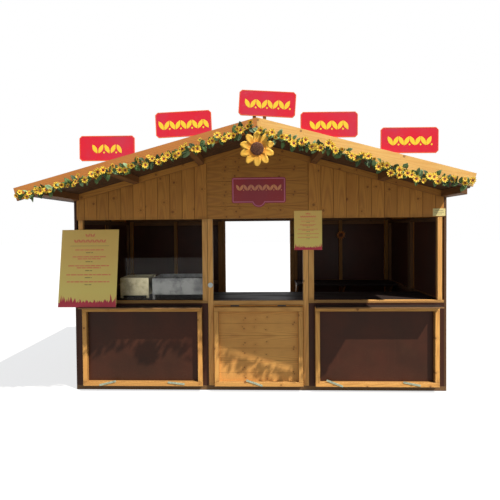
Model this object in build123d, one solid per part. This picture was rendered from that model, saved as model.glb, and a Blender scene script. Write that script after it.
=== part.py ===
from build123d import *
import math
import os

# Driving dimensions in millimetres. X runs along the front, Y into the depth, Z up.
# The origin is on the ground at the centre of the footprint.

# Footprint and wall elements
WIDTH = 4000
DEPTH = 1800
CENTRE_BAY = 1086
ELEMENT_JOINT = 2
SIDE_BOARD = 27
CLADDING = 18
FRAME_DEPTH = 45
STUD = 45
POST = 58
CORNER_POST = 50
CORNER_GAP = 18

# Heights of the walls
BASE_HEIGHT = 50
COUNTER_TOP = 973
SILL_THICK = 27
CENTRE_SILL_THICK = 46
HEADER_HEIGHT = 1857
HEADER_RAIL = 60
GABLE_EDGE = 203

# Base
BEARER_WIDTH = 90
BEARER_COUNT = 5
FLOOR_THICK = 24

# Roof
PITCH = 15.2
FRONT_OVERHANG = 800
REAR_OVERHANG = 200
LEFT_EAVE = 2191
RIGHT_EAVE = 2030
CANOPY_RIGHT = 1896
RIGHT_PLATE_REACH = 430
PURLIN_WIDTH = 60
PURLIN_DROP = 65
INNER_PURLIN = 600
OUTER_PURLIN = 1310
DECK_RISE = 21
FELT_RISE = 4
FELT_JOINT = 4
CAPPING_RISE = 3
CAPPING_HALF = 120
BARGE_WIDTH = 120
BARGE_THICK = 20
BARGE_RISE = 61
RAKE_PROUD = 8

# Serving hatches, folded down in front of the lower walls
HATCH_TOP = 915
HATCH_HEIGHT = 853
HATCH_FRAME = 48
HATCH_FRAME_DEPTH = 45
HATCH_PANEL = 18
HATCH_GAP = 2
SIDE_HATCH_GAP = 3
CENTRE_HATCH_GAP = 12
LEDGE_REACH = 160
LEDGE_THICK = 15
HINGE_LENGTH = 90
HINGE_RADIUS = 5
HINGE_LEAF = 3
HINGE_INSET = 220
LATCH_LENGTH = 186
LATCH_WIDTH = 20
LATCH_THICK = 4
LATCH_BOLT = 8
LATCH_CLIP = 6
# Each latch bar: its hatch, distance from the hatch's left edge, rise above its foot and angle.
LATCHES = (
    ("left", 270, 33, 13.6),
    ("left", 1015, 35, -6.0),
    ("centre", 425, 40, -18.6),
    ("right", 201, 40, -20.8),
    ("right", 1009, 37, -11.1),
)

# Counters
WORKTOP_DEPTH = 560
BACK_COUNTER_DEPTH = 450
BACK_COUNTER_THICK = 27
BRACKET_REACH = 320
BRACKET_DROP = 240
BRACKET_THICK = 27

# Boards and plates on the outside
SIGN_WIDTH = 500
SIGN_HEIGHT = 225
SIGN_THICK = 6
SIGN_SLACK = 2
SIGN_CLIP = 22
SIGN_CENTRES = (-1340, -650, 93, 633, 1329)
SIGN_RISES = (176, 193, 207, 162, 204)
SIGN_TILTS = (-0.3, 2.1, -3.9, -0.4, -0.4)
STAY_WIDTH = 30
STAY_DEPTH = 20
STAY_RISE = 50
STAY_FIRST = 45
STAY_SECOND = 122
RIDGE_SIGN_STAYS = (-22, 68)
PLATE_THICK = 3
NAME_SIGN_WIDTH = 579
NAME_SIGN_HEIGHT = 276
NAME_SIGN_X = 15
NAME_SIGN_RISE = 305
NAME_SIGN_BULGE = 46
NAME_SIGN_BULGE_RADIUS = 78
NOTICE_WIDTH = 131
NOTICE_HEIGHT = 80
NOTICE_EDGE_GAP = 14
NOTICE_RISE = 10
POSTER_LARGE = (624, 832)
POSTER_LARGE_PAST_CORNER = 128
POSTER_THICK = 8
POSTER_FOOT = 132
POSTER_SMALL = (297, 420)
POSTER_SMALL_PAST_JOINT = 152
POSTER_SMALL_RISE = 80
TOUCH = 0.3

# Flowers
SUNFLOWER_RADIUS = 153
SUNFLOWER_DISC = 60
SUNFLOWER_PETALS = 10
SUNFLOWER_DROP = 159
SUNFLOWER_STAND_OFF = 34
PETAL_THICK = 6
PETAL_ROOT = 0.9
DISC_THICK = 14
DISC_GAP = 2
DISC_BEVEL = 7
HANGER_WIDTH = 16
HANGER_THICK = 3
HANGER_REACH = 48
VINE_RADIUS = 10
VINE_SIDES = 8
VINE_START = 30
VINE_END_GAP = 25
VINE_DROP = 4
HEAD_RADIUS = 38
HEAD_DISC = 14
HEAD_DISC_SIDES = 8
HEAD_PETALS = 9
HEAD_THICK = 5
HEAD_DISC_THICK = 7
HEAD_SPACING = 110
HEAD_SWING = 22
LEAF_LENGTH = 78
LEAF_WIDTH = 40
LEAF_THICK = 3
LEAF_ANGLE = 52
LEAF_SPACING = 62
WALL_FLOWER_RADIUS = 70
WALL_FLOWER_DISC = 28
WALL_FLOWER_PETALS = 12
WALL_FLOWER_DROP = 217

# Cooking units and fittings
FRYER_INSET = 345
FRYER_WIDTH = 325
FRYER_DEPTH = 320
FRYER_HEIGHT = 232
FRYER_SET_BACK = 117
FRYER_LEG_HEIGHT = 30
UNIT_GAP = 67
GRIDDLE_WIDTH = 590
GRIDDLE_DEPTH = 430
GRIDDLE_HEIGHT = 240
GRIDDLE_SET_BACK = 13
GRIDDLE_LEG_HEIGHT = 55
UNIT_LEG = 28
PAN_DEPTH = 60
PAN_RIM = 24
SCREEN_INSET = 9
SCREEN_WIDTH = 1000
SCREEN_HEIGHT = 465
SCREEN_THICK = 6
SCREEN_STAND_OFF = 6
OPENER_CENTRE = 1144
OPENER_RADIUS = 27
OPENER_THICK = 14

# Values worked out from the driving dimensions
SLOPE = math.tan(math.radians(PITCH))
WALL_CORNER_HEIGHT = HEADER_HEIGHT + GABLE_EDGE
FRONT = -DEPTH / 2
REAR = DEPTH / 2
INNER_X = WIDTH / 2 - SIDE_BOARD
ELEMENT_X = CENTRE_BAY / 2
OPENING_OUTER = INNER_X - CORNER_GAP - CORNER_POST
OPENING_INNER = ELEMENT_X + POST
FRAME_X = INNER_X - STUD
FRAME_Y = DEPTH / 2 - CLADDING - FRAME_DEPTH
BARGE_FACE = FRONT - FRONT_OVERHANG
BARGE_BACK = BARGE_FACE + BARGE_THICK
REAR_BARGE_FACE = REAR + REAR_OVERHANG
REAR_BARGE_BACK = REAR_BARGE_FACE - BARGE_THICK
DECK_FRONT = BARGE_BACK + SIGN_THICK + SIGN_SLACK
FELT_TOP = DECK_RISE + FELT_RISE
BARGE_DROP = BARGE_WIDTH / math.cos(math.radians(PITCH)) - BARGE_RISE
SCREEN_BACK = FRONT + FRAME_DEPTH + SCREEN_STAND_OFF + SCREEN_THICK


def wall_top(x):
    """Height of the sloping top of the walls, which is the underside of the purlins."""
    return WALL_CORNER_HEIGHT + SLOPE * (WIDTH / 2 - abs(x))


def deck_under(x):
    """Height of the underside of the roof boards."""
    return wall_top(x) + PURLIN_DROP


def barge_low(x):
    """Height of the lower edge of the bargeboards."""
    return deck_under(x) - BARGE_DROP


def block(x0, x1, y0, y1, z0, z1):
    """Rectangular piece between two corners."""
    centre = Pos((x0 + x1) / 2, (y0 + y1) / 2, (z0 + z1) / 2)
    return centre * Box(abs(x1 - x0), abs(y1 - y0), abs(z1 - z0))


def prism_y(points, y0, y1):
    """Outline in X and Z, carried from y0 to y1."""
    wire = Wire.make_polygon([Vector(x, y0, z) for x, z in points], close=True)
    return Solid.extrude(Face(wire), Vector(0, y1 - y0, 0))


def prism_x(points, x0, x1):
    """Outline in Y and Z, carried from x0 to x1."""
    wire = Wire.make_polygon([Vector(x0, y, z) for y, z in points], close=True)
    return Solid.extrude(Face(wire), Vector(x1 - x0, 0, 0))


def roof_slab(x0, x1, low, high, y0, y1):
    """Piece that follows one slope, low and high being heights above the deck's underside."""
    points = [
        (x0, deck_under(x0) + low),
        (x1, deck_under(x1) + low),
        (x1, deck_under(x1) + high),
        (x0, deck_under(x0) + high),
    ]
    return prism_y(points, y0, y1)


def wall_prism(x0, x1, z0, y0, y1):
    """Upright piece whose top follows the slope, flat under the ridge purlin."""
    seat = PURLIN_WIDTH / 2
    places = [x1, x0]
    if x0 < -seat and x1 > seat:
        places = [x1, seat, -seat, x0]
    points = [(x0, z0), (x1, z0)]
    for x in places:
        points.append((x, min(wall_top(x), wall_top(seat))))
    return prism_y(points, y0, y1)


def both(maker, x0, x1):
    """A piece and its mirror image on the other side of the centre."""
    return [maker(-x1, -x0), maker(x0, x1)]


# Base

def floor_bearers():
    pieces = []
    for index in range(BEARER_COUNT):
        share = index / (BEARER_COUNT - 1)
        middle = FRONT + BEARER_WIDTH / 2 + share * (DEPTH - BEARER_WIDTH)
        y0 = middle - BEARER_WIDTH / 2
        pieces.append(block(-WIDTH / 2, WIDTH / 2, y0, y0 + BEARER_WIDTH, 0, BASE_HEIGHT))
    return pieces


def floor_deck():
    top = BASE_HEIGHT + FLOOR_THICK
    deck = block(-FRAME_X, FRAME_X, -FRAME_Y, FRAME_Y, BASE_HEIGHT, top)
    doorway = ELEMENT_X - POST
    return [deck + block(-doorway, doorway, FRAME_Y, REAR, BASE_HEIGHT, top)]


# Front wall

def front_lower_walls():
    sill = COUNTER_TOP - SILL_THICK
    inner = ELEMENT_X + ELEMENT_JOINT / 2
    return both(lambda a, b: block(a, b, FRONT, FRONT + CLADDING, BASE_HEIGHT, sill), inner, INNER_X)


def front_centre_boards():
    edge = ELEMENT_X - POST
    top = COUNTER_TOP - CENTRE_SILL_THICK
    return [block(-edge, edge, FRONT, FRONT + CLADDING, BASE_HEIGHT, top)]


def front_stud_places():
    """Left edges of the studs in the right half of the side bays."""
    inner = ELEMENT_X + ELEMENT_JOINT / 2
    outer = FRAME_X - STUD
    return [inner, (inner + outer) / 2, outer]


def front_studs():
    y0 = FRONT + CLADDING
    y1 = y0 + FRAME_DEPTH
    sill = COUNTER_TOP - SILL_THICK
    pieces = []
    for x in front_stud_places():
        pieces += both(lambda a, b: block(a, b, y0, y1, BASE_HEIGHT, sill), x, x + STUD)
    edge = ELEMENT_X - POST
    top = COUNTER_TOP - CENTRE_SILL_THICK
    pieces += both(lambda a, b: block(a, b, y0, y1, BASE_HEIGHT, top), edge - STUD, edge)
    return pieces


def serving_sills():
    y1 = FRONT + FRAME_DEPTH
    inner = ELEMENT_X + ELEMENT_JOINT / 2
    low = COUNTER_TOP - SILL_THICK
    pieces = both(lambda a, b: block(a, b, FRONT, y1, low, COUNTER_TOP), inner, INNER_X)
    edge = ELEMENT_X - POST
    low = COUNTER_TOP - CENTRE_SILL_THICK
    pieces.append(block(-edge, edge, FRONT, y1, low, COUNTER_TOP))
    return pieces


def front_posts():
    y1 = FRONT + FRAME_DEPTH
    joint = ELEMENT_JOINT / 2
    corner = OPENING_OUTER
    pieces = both(
        lambda a, b: block(a, b, FRONT, y1, COUNTER_TOP, HEADER_HEIGHT), corner, corner + CORNER_POST
    )
    pieces += both(
        lambda a, b: block(a, b, FRONT, y1, COUNTER_TOP, HEADER_HEIGHT), ELEMENT_X + joint, OPENING_INNER
    )
    pieces += both(
        lambda a, b: block(a, b, FRONT, y1, BASE_HEIGHT, HEADER_HEIGHT), ELEMENT_X - POST, ELEMENT_X - joint
    )
    return pieces


def gable_panel(x0, x1, y0, y1):
    return [wall_prism(x0, x1, HEADER_HEIGHT, y0, y1)]


def front_gable_left():
    edge = ELEMENT_X + ELEMENT_JOINT / 2
    return gable_panel(-INNER_X, -edge, FRONT, FRONT + CLADDING)


def front_gable_centre():
    edge = ELEMENT_X - ELEMENT_JOINT / 2
    return gable_panel(-edge, edge, FRONT, FRONT + CLADDING)


def front_gable_right():
    edge = ELEMENT_X + ELEMENT_JOINT / 2
    return gable_panel(edge, INNER_X, FRONT, FRONT + CLADDING)


def header_rails():
    """Rails behind the gable panels, front and rear, resting on the posts."""
    pieces = []
    top = HEADER_HEIGHT + HEADER_RAIL
    joint = ELEMENT_JOINT / 2
    for y0 in (FRONT + CLADDING, FRAME_Y):
        y1 = y0 + FRAME_DEPTH
        outer = FRAME_X
        pieces += both(lambda a, b: block(a, b, y0, y1, HEADER_HEIGHT, top), ELEMENT_X + joint, outer)
        pieces.append(block(-ELEMENT_X + joint, ELEMENT_X - joint, y0, y1, HEADER_HEIGHT, top))
    return pieces


def gable_studs():
    """Short studs that carry the purlins on the header rails."""
    pieces = []
    low = HEADER_HEIGHT + HEADER_RAIL
    for y0 in (FRONT + CLADDING, FRAME_Y):
        y1 = y0 + FRAME_DEPTH
        for middle in (INNER_PURLIN, OUTER_PURLIN):
            a = middle - STUD / 2
            pieces += both(lambda p, q: wall_prism(p, q, low, y0, y1), a, a + STUD)
        pieces.append(wall_prism(-STUD / 2, STUD / 2, low, y0, y1))
    return pieces


def rake_blocking():
    """Battens between the purlins along both gables."""
    half = PURLIN_WIDTH / 2
    bays = [
        (half, INNER_PURLIN - half),
        (INNER_PURLIN + half, OUTER_PURLIN - half),
        (OUTER_PURLIN + half, WIDTH / 2 - PURLIN_WIDTH),
    ]
    pieces = []
    for y0, y1 in ((FRONT - RAKE_PROUD, FRONT + FRAME_DEPTH), (REAR - FRAME_DEPTH, REAR)):
        for x0, x1 in bays:
            pieces += both(lambda a, b: roof_slab(a, b, -PURLIN_DROP, 0, y0, y1), x0, x1)
    return pieces


# Serving hatches

def hatch_spans():
    side_inner = OPENING_INNER + SIDE_HATCH_GAP
    side_outer = OPENING_OUTER - SIDE_HATCH_GAP
    centre = ELEMENT_X - POST - CENTRE_HATCH_GAP
    return {
        "left": (-side_outer, -side_inner),
        "centre": (-centre, centre),
        "right": (side_inner, side_outer),
    }


def hatch_frame(span):
    y1 = FRONT - HATCH_GAP - HATCH_PANEL
    y0 = y1 - HATCH_FRAME_DEPTH
    x0, x1 = span
    low = HATCH_TOP - HATCH_HEIGHT
    outline = block(x0, x1, y0, y1, low, HATCH_TOP)
    inside = block(
        x0 + HATCH_FRAME, x1 - HATCH_FRAME, y0 - 1, y1 + 1, low + HATCH_FRAME, HATCH_TOP - HATCH_FRAME
    )
    return [outline - inside]


def hatch_panel(span):
    y1 = FRONT - HATCH_GAP
    return block(span[0], span[1], y1 - HATCH_PANEL, y1, HATCH_TOP - HATCH_HEIGHT, HATCH_TOP)


def hatch_side_panels():
    spans = hatch_spans()
    return [hatch_panel(spans["left"]), hatch_panel(spans["right"])]


def serving_ledges():
    """Narrow shelf boards on the top rails of the two side hatches."""
    y1 = FRONT - HATCH_GAP - HATCH_PANEL
    spans = hatch_spans()
    pieces = []
    for x0, x1 in (spans["left"], spans["right"]):
        pieces.append(block(x0, x1, FRONT - LEDGE_REACH, y1, HATCH_TOP, HATCH_TOP + LEDGE_THICK))
    return pieces


def hatch_hinges():
    """Butt hinges between the wall below the sills and the tops of the hatches."""
    axis_z = HATCH_TOP + HINGE_RADIUS
    axis_y = FRONT - HINGE_RADIUS
    panel_front = FRONT - HATCH_GAP - HATCH_PANEL
    wall_leaf_top = axis_z + HINGE_RADIUS
    pieces = []
    for x0, x1 in hatch_spans().values():
        for middle in (x0 + HINGE_INSET, x1 - HINGE_INSET):
            a = middle - HINGE_LENGTH / 2
            b = middle + HINGE_LENGTH / 2
            knuckle = Pos(middle, axis_y, axis_z) * Rot(0, 90, 0) * Cylinder(HINGE_RADIUS, HINGE_LENGTH)
            wall_leaf = block(a, b, FRONT - HINGE_LEAF, FRONT, axis_z - HINGE_RADIUS, wall_leaf_top)
            hatch_leaf = block(a, b, panel_front, axis_y, HATCH_TOP, HATCH_TOP + HINGE_LEAF)
            pieces.append(knuckle + wall_leaf + hatch_leaf)
    return pieces


def hatch_latches():
    """Flat turning bars at the hatches' lower rails, each left at its own angle."""
    face = FRONT - HATCH_GAP - HATCH_PANEL - HATCH_FRAME_DEPTH
    spans = hatch_spans()
    pieces = []
    for name, along, rise, angle in LATCHES:
        x = spans[name][0] + along
        z = HATCH_TOP - HATCH_HEIGHT + rise
        bar = Box(LATCH_LENGTH, LATCH_THICK, LATCH_WIDTH)
        bar = chamfer(bar.edges().filter_by(Axis.Y), LATCH_CLIP)
        bolt = Pos(0, -LATCH_THICK, 0) * Rot(90, 0, 0) * Cylinder(LATCH_BOLT, LATCH_THICK)
        pieces.append(Pos(x, face - LATCH_THICK / 2, z) * Rot(0, -angle, 0) * (bar + bolt))
    return pieces


# Side walls

def side_boards(side):
    """Outer panels of one side wall in two elements."""
    x0, x1 = sorted((side * INNER_X, side * WIDTH / 2))
    joint = ELEMENT_JOINT / 2
    pieces = [wall_prism(x0, x1, BASE_HEIGHT, FRONT, -joint)]
    pieces.append(wall_prism(x0, x1, BASE_HEIGHT, joint, REAR))
    return pieces


def side_stud_places():
    """Low Y edges of the two studs in each element of a side wall."""
    edge = DEPTH / 2 - FRAME_DEPTH
    joint = ELEMENT_JOINT / 2
    return [(-edge, -joint - STUD), (joint, edge - STUD)]


def side_wall_studs():
    pieces = []
    for places in side_stud_places():
        for y in places:
            pieces += both(lambda a, b: wall_prism(a, b, BASE_HEIGHT, y, y + STUD), FRAME_X, INNER_X)
    return pieces


def side_wall_rails():
    pieces = []
    for low in (BASE_HEIGHT, COUNTER_TOP - STUD, HEADER_HEIGHT - STUD):
        for first, second in side_stud_places():
            pieces += both(
                lambda a, b: block(a, b, first + STUD, second, low, low + STUD), FRAME_X, INNER_X
            )
    return pieces


# Rear wall

def rear_side(x0, x1):
    """Dark panel up to the header and the boarded gable above it."""
    panel = block(x0, x1, REAR - CLADDING, REAR, BASE_HEIGHT, HEADER_HEIGHT - ELEMENT_JOINT)
    return [panel] + gable_panel(x0, x1, REAR - CLADDING, REAR)


def rear_wall_left():
    return rear_side(-INNER_X, -ELEMENT_X - ELEMENT_JOINT / 2)


def rear_wall_right():
    return rear_side(ELEMENT_X + ELEMENT_JOINT / 2, INNER_X)


def rear_gable_centre():
    edge = ELEMENT_X - ELEMENT_JOINT / 2
    return gable_panel(-edge, edge, REAR - CLADDING, REAR)


def rear_posts():
    """Door posts and studs of the rear wall, under the header rails."""
    joint = ELEMENT_JOINT / 2
    y0 = REAR - CLADDING - FRAME_DEPTH
    pieces = both(
        lambda a, b: block(a, b, y0, REAR, BASE_HEIGHT, HEADER_HEIGHT), ELEMENT_X - POST, ELEMENT_X - joint
    )
    for x in front_stud_places():
        pieces += both(
            lambda a, b: block(a, b, y0, y0 + FRAME_DEPTH, BASE_HEIGHT, HEADER_HEIGHT), x, x + STUD
        )
    return pieces


# Counters

def worktops():
    """Dark boards behind the sills in the three bays."""
    y0 = FRONT + FRAME_DEPTH
    y1 = y0 + WORKTOP_DEPTH
    low = COUNTER_TOP - SILL_THICK
    joint = ELEMENT_JOINT / 2
    middle = block(-ELEMENT_X + joint, ELEMENT_X - joint, y0, y1, low, COUNTER_TOP)
    sides = both(lambda a, b: block(a, b, y0, y1, low, COUNTER_TOP), ELEMENT_X + joint, FRAME_X)
    return sides + [middle]


def back_counter():
    inner = ELEMENT_X + ELEMENT_JOINT / 2
    low = COUNTER_TOP - BACK_COUNTER_THICK
    return [block(inner, FRAME_X, FRAME_Y - BACK_COUNTER_DEPTH, FRAME_Y, low, COUNTER_TOP)]


def bracket(x0, wall_y, inward, top):
    """Triangular bracket with its upright edge on a stud."""
    points = [(wall_y, top), (wall_y + inward * BRACKET_REACH, top), (wall_y, top - BRACKET_DROP)]
    return prism_x(points, x0, x0 + BRACKET_THICK)


def counter_brackets():
    top = COUNTER_TOP - SILL_THICK
    inset = (STUD - BRACKET_THICK) / 2
    pieces = []
    for x in front_stud_places():
        for left in (x + inset, -x - STUD + inset):
            pieces.append(bracket(left, -FRAME_Y, 1, top))
        pieces.append(bracket(x + inset, FRAME_Y, -1, COUNTER_TOP - BACK_COUNTER_THICK))
    edge = ELEMENT_X - POST - STUD + inset
    for left in (edge, -edge - BRACKET_THICK):
        pieces.append(bracket(left, -FRAME_Y, 1, top))
    return pieces


# Roof

def ridge_purlin():
    half = PURLIN_WIDTH / 2
    low = wall_top(half)
    points = [
        (-half, low),
        (half, low),
        (half, deck_under(half)),
        (0, deck_under(0)),
        (-half, deck_under(half)),
    ]
    return [prism_y(points, BARGE_BACK, REAR_BARGE_BACK)]


def roof_purlins():
    half = PURLIN_WIDTH / 2
    pieces = []
    for middle in (INNER_PURLIN, OUTER_PURLIN):
        pieces += both(
            lambda a, b: roof_slab(a, b, -PURLIN_DROP, 0, BARGE_BACK, REAR_BARGE_BACK),
            middle - half,
            middle + half,
        )
    return pieces


def eaves_plates():
    outer = WIDTH / 2
    inner = outer - PURLIN_WIDTH
    left = roof_slab(-outer, -inner, -PURLIN_DROP, 0, BARGE_BACK, REAR_BARGE_BACK)
    right = roof_slab(inner, outer, -PURLIN_DROP, 0, FRONT - RIGHT_PLATE_REACH, REAR_BARGE_BACK)
    return [left, right]


def roof_layer(side, ridge_gap, low, high):
    """One layer of a roof half. On the right the canopy in front is cut shorter."""
    if side < 0:
        return [roof_slab(-LEFT_EAVE, -ridge_gap, low, high, DECK_FRONT, REAR_BARGE_BACK)]
    step = FRONT - RIGHT_PLATE_REACH
    main = roof_slab(ridge_gap, RIGHT_EAVE, low, high, step, REAR_BARGE_BACK)
    canopy = roof_slab(ridge_gap, CANOPY_RIGHT, low, high, DECK_FRONT, step)
    return [main + canopy]


def roof_deck_left():
    return roof_layer(-1, 0, 0, DECK_RISE)


def roof_deck_right():
    return roof_layer(1, 0, 0, DECK_RISE)


def roof_felt():
    gap = FELT_JOINT / 2
    return roof_layer(-1, gap, DECK_RISE, FELT_TOP) + roof_layer(1, gap, DECK_RISE, FELT_TOP)


def ridge_capping():
    points = []
    for x in (-CAPPING_HALF, 0, CAPPING_HALF):
        points.append((x, deck_under(x) + FELT_TOP))
    for x in (CAPPING_HALF, 0, -CAPPING_HALF):
        points.append((x, deck_under(x) + FELT_TOP + CAPPING_RISE))
    return [prism_y(points, DECK_FRONT, REAR_BARGE_BACK)]


def bargeboard(side, reach, y0, y1):
    """Sloping board from the ridge to one eave, its end cut square to the slope."""
    angle = math.radians(PITCH)
    ridge = deck_under(0) + BARGE_RISE
    tip = deck_under(reach) + BARGE_RISE
    shift = BARGE_WIDTH * math.sin(angle)
    fall = BARGE_WIDTH * math.cos(angle)
    points = [
        (0, ridge),
        (side * reach, tip),
        (side * (reach - shift), tip - fall),
        (0, barge_low(0)),
    ]
    return prism_y(points, y0, y1)


def front_bargeboard_left():
    return [bargeboard(-1, LEFT_EAVE, BARGE_FACE, BARGE_BACK)]


def front_bargeboard_right():
    return [bargeboard(1, CANOPY_RIGHT, BARGE_FACE, BARGE_BACK)]


def rear_bargeboard_left():
    return [bargeboard(-1, LEFT_EAVE, REAR_BARGE_BACK, REAR_BARGE_FACE)]


def rear_bargeboard_right():
    return [bargeboard(1, RIGHT_EAVE, REAR_BARGE_BACK, REAR_BARGE_FACE)]


# Boards, plates and posters

def roof_sign_places():
    """Centre and tilt of each roof sign, from left to right."""
    places = []
    for x, rise, tilt in zip(SIGN_CENTRES, SIGN_RISES, SIGN_TILTS):
        places.append((x, deck_under(x) + rise, tilt))
    return places


def roof_signs():
    pieces = []
    for x, z, tilt in roof_sign_places():
        board = Box(SIGN_WIDTH, SIGN_THICK, SIGN_HEIGHT)
        board = chamfer(board.edges().filter_by(Axis.Y), SIGN_CLIP)
        pieces.append(Pos(x, BARGE_BACK + SIGN_THICK / 2, z) * Rot(0, -tilt, 0) * board)
    return pieces


def sign_stays():
    """Upright battens on the roof behind the signs."""
    y0 = BARGE_BACK + SIGN_THICK
    half = STAY_WIDTH / 2
    pieces = []
    for x, z, tilt in roof_sign_places():
        uphill = x - math.copysign(SIGN_WIDTH / 2, x)
        places = [uphill + math.copysign(step, x) for step in (STAY_FIRST, STAY_SECOND)]
        if abs(x) < SIGN_WIDTH / 2:
            places = list(RIDGE_SIGN_STAYS)
        for place in places:
            a = place - half
            b = place + half
            rise = FELT_TOP + (CAPPING_RISE if abs(place) < CAPPING_HALF else 0)
            foot_a = deck_under(a) + rise
            foot_b = deck_under(b) + rise
            top = z + STAY_RISE
            pieces.append(prism_y([(a, foot_a), (b, foot_b), (b, top), (a, top)], y0, y0 + STAY_DEPTH))
    return pieces


def name_sign():
    """Plate with round corners and a round bulge at the middle of its lower edge."""
    with BuildSketch(Plane.XZ) as outline:
        RectangleRounded(NAME_SIGN_WIDTH, NAME_SIGN_HEIGHT, NAME_SIGN_HEIGHT / 12)
        low = -NAME_SIGN_HEIGHT / 2 + NAME_SIGN_BULGE_RADIUS - NAME_SIGN_BULGE
        with Locations((0, low)):
            Circle(NAME_SIGN_BULGE_RADIUS)
    plate = extrude(outline.sketch, PLATE_THICK)
    return [Pos(NAME_SIGN_X, FRONT, HEADER_HEIGHT + NAME_SIGN_RISE) * plate]


def notice_plate():
    x = WIDTH / 2 - NOTICE_EDGE_GAP
    z = HEADER_HEIGHT + NOTICE_RISE
    return [block(x - NOTICE_WIDTH, x, FRONT - PLATE_THICK, FRONT, z, z + NOTICE_HEIGHT)]


def poster_large():
    """Board that stands on the left serving ledge and leans on the wall's corner."""
    width, height = POSTER_LARGE
    lean = math.degrees(math.asin((POSTER_FOOT - TOUCH) / height))
    board = Box(width, POSTER_THICK, height, align=(Align.MIN, Align.MAX, Align.MIN))
    left = -WIDTH / 2 - POSTER_LARGE_PAST_CORNER
    low = HATCH_TOP + LEDGE_THICK + TOUCH
    return [Pos(left, FRONT - POSTER_FOOT, low) * Rot(-lean, 0, 0) * board]


def poster_small():
    width, height = POSTER_SMALL
    x = ELEMENT_X - POSTER_SMALL_PAST_JOINT
    top = HEADER_HEIGHT + POSTER_SMALL_RISE
    return [block(x, x + width, FRONT - PLATE_THICK, FRONT, top - height, top)]


# Flowers

def petal_ring(radius, hub, count, thick):
    """Flat ring of pointed petals round a hub, lying in X and Z and thickening towards -Y."""
    belly = (radius + hub) / 2
    half = math.pi * belly / count
    root = hub * PETAL_ROOT
    with BuildSketch(Plane.XZ) as petal:
        with BuildLine():
            ThreePointArc((root, 0), (belly, half), (radius, 0))
            ThreePointArc((radius, 0), (belly, -half), (root, 0))
        make_face()
    with BuildSketch(Plane.XZ) as outline:
        Circle(hub)
        with PolarLocations(0, count):
            add(petal.sketch_local)
    return extrude(outline.sketch, thick)


def petal_star(radius, hub, count, thick):
    """Small flower whose petals are straight-edged points round a hub."""
    points = []
    for index in range(2 * count):
        reach = radius if index % 2 == 0 else (radius + hub) / 2
        turn = math.pi * index / count
        points.append((reach * math.cos(turn), reach * math.sin(turn)))
    return prism_y(points, 0, -thick)


def sunflower_height():
    return barge_low(0) - SUNFLOWER_DROP


def sunflower_petals():
    ring = petal_ring(SUNFLOWER_RADIUS, SUNFLOWER_DISC, SUNFLOWER_PETALS, PETAL_THICK)
    return [Pos(0, BARGE_FACE - SUNFLOWER_STAND_OFF, sunflower_height()) * ring]


def sunflower_disc():
    """Cushion of seeds in front of the petals, bevelled at its front edge."""
    front = BARGE_FACE - SUNFLOWER_STAND_OFF - PETAL_THICK
    disc = Rot(90, 0, 0) * Cylinder(SUNFLOWER_DISC - DISC_GAP, DISC_THICK)
    disc = chamfer(disc.edges().group_by(Axis.Y)[0], DISC_BEVEL)
    return [Pos(0, front - DISC_THICK / 2, sunflower_height()) * disc]


def sunflower_hanger():
    """Strap on the bargeboards with a peg that carries the large flower."""
    half = HANGER_WIDTH / 2
    z = sunflower_height()
    top = barge_low(0) + HANGER_REACH
    strap = block(-half, half, BARGE_FACE - HANGER_THICK, BARGE_FACE, z - HANGER_WIDTH, top)
    peg = Rot(90, 0, 0) * Cylinder(half, SUNFLOWER_STAND_OFF)
    return [strap + Pos(0, BARGE_FACE - SUNFLOWER_STAND_OFF / 2, z) * peg]


def garland_head():
    """Small sunflower of the garlands, its back in the vine."""
    depth = VINE_RADIUS / 2 + HEAD_THICK
    petals = petal_star(HEAD_RADIUS, HEAD_DISC, HEAD_PETALS, depth)
    with BuildSketch(Plane.XZ) as seeds:
        RegularPolygon(HEAD_DISC, HEAD_DISC_SIDES)
    return petals + extrude(seeds.sketch, depth + HEAD_DISC_THICK)


def garland_leaf():
    """Pointed leaf along +X with its stalk at the origin."""
    half = LEAF_WIDTH / 2
    points = [
        (0, 0),
        (LEAF_LENGTH * 0.35, -half),
        (LEAF_LENGTH * 0.7, -half * 0.7),
        (LEAF_LENGTH, 0),
        (LEAF_LENGTH * 0.7, half * 0.7),
        (LEAF_LENGTH * 0.35, half),
    ]
    return prism_y(points, -LEAF_THICK / 2, LEAF_THICK / 2)


def garland(side, reach):
    """Vine along the lower edge of a bargeboard, with leaves and flower heads on it."""
    angle = math.radians(PITCH)
    start = VINE_START
    end = reach - BARGE_WIDTH * math.sin(angle) - VINE_END_GAP
    y = BARGE_FACE - TOUCH - VINE_RADIUS
    span = end - start
    middle = (start + end) / 2

    def vine_height(x):
        return barge_low(x) + VINE_DROP

    with BuildSketch(Plane.YZ) as section:
        RegularPolygon(VINE_RADIUS, VINE_SIDES, major_radius=False, rotation=180 / VINE_SIDES)
    vine = extrude(section.sketch, span / math.cos(angle) / 2, both=True)
    result = Pos(side * middle, y, vine_height(middle)) * Rot(0, side * PITCH, 0) * vine
    pieces = []
    leaf_count = int(span // LEAF_SPACING)
    for index in range(leaf_count):
        x = start + (index + 0.5) * span / leaf_count
        turn = LEAF_ANGLE if index % 2 == 0 else -LEAF_ANGLE
        leaf = Rot(0, turn + side * PITCH, 0) * garland_leaf()
        pieces.append(Pos(side * x, y, vine_height(x)) * leaf)
    head_count = int(span // HEAD_SPACING)
    for index in range(head_count):
        x = start + (index + 0.5) * span / head_count
        z = vine_height(x) + HEAD_SWING * math.sin(2.4 * index)
        pieces.append(Pos(side * x, y - VINE_RADIUS / 2, z) * garland_head())
    return [result.fuse(*pieces)]


def garland_left():
    return garland(-1, LEFT_EAVE)


def garland_right():
    return garland(1, CANOPY_RIGHT)


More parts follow.
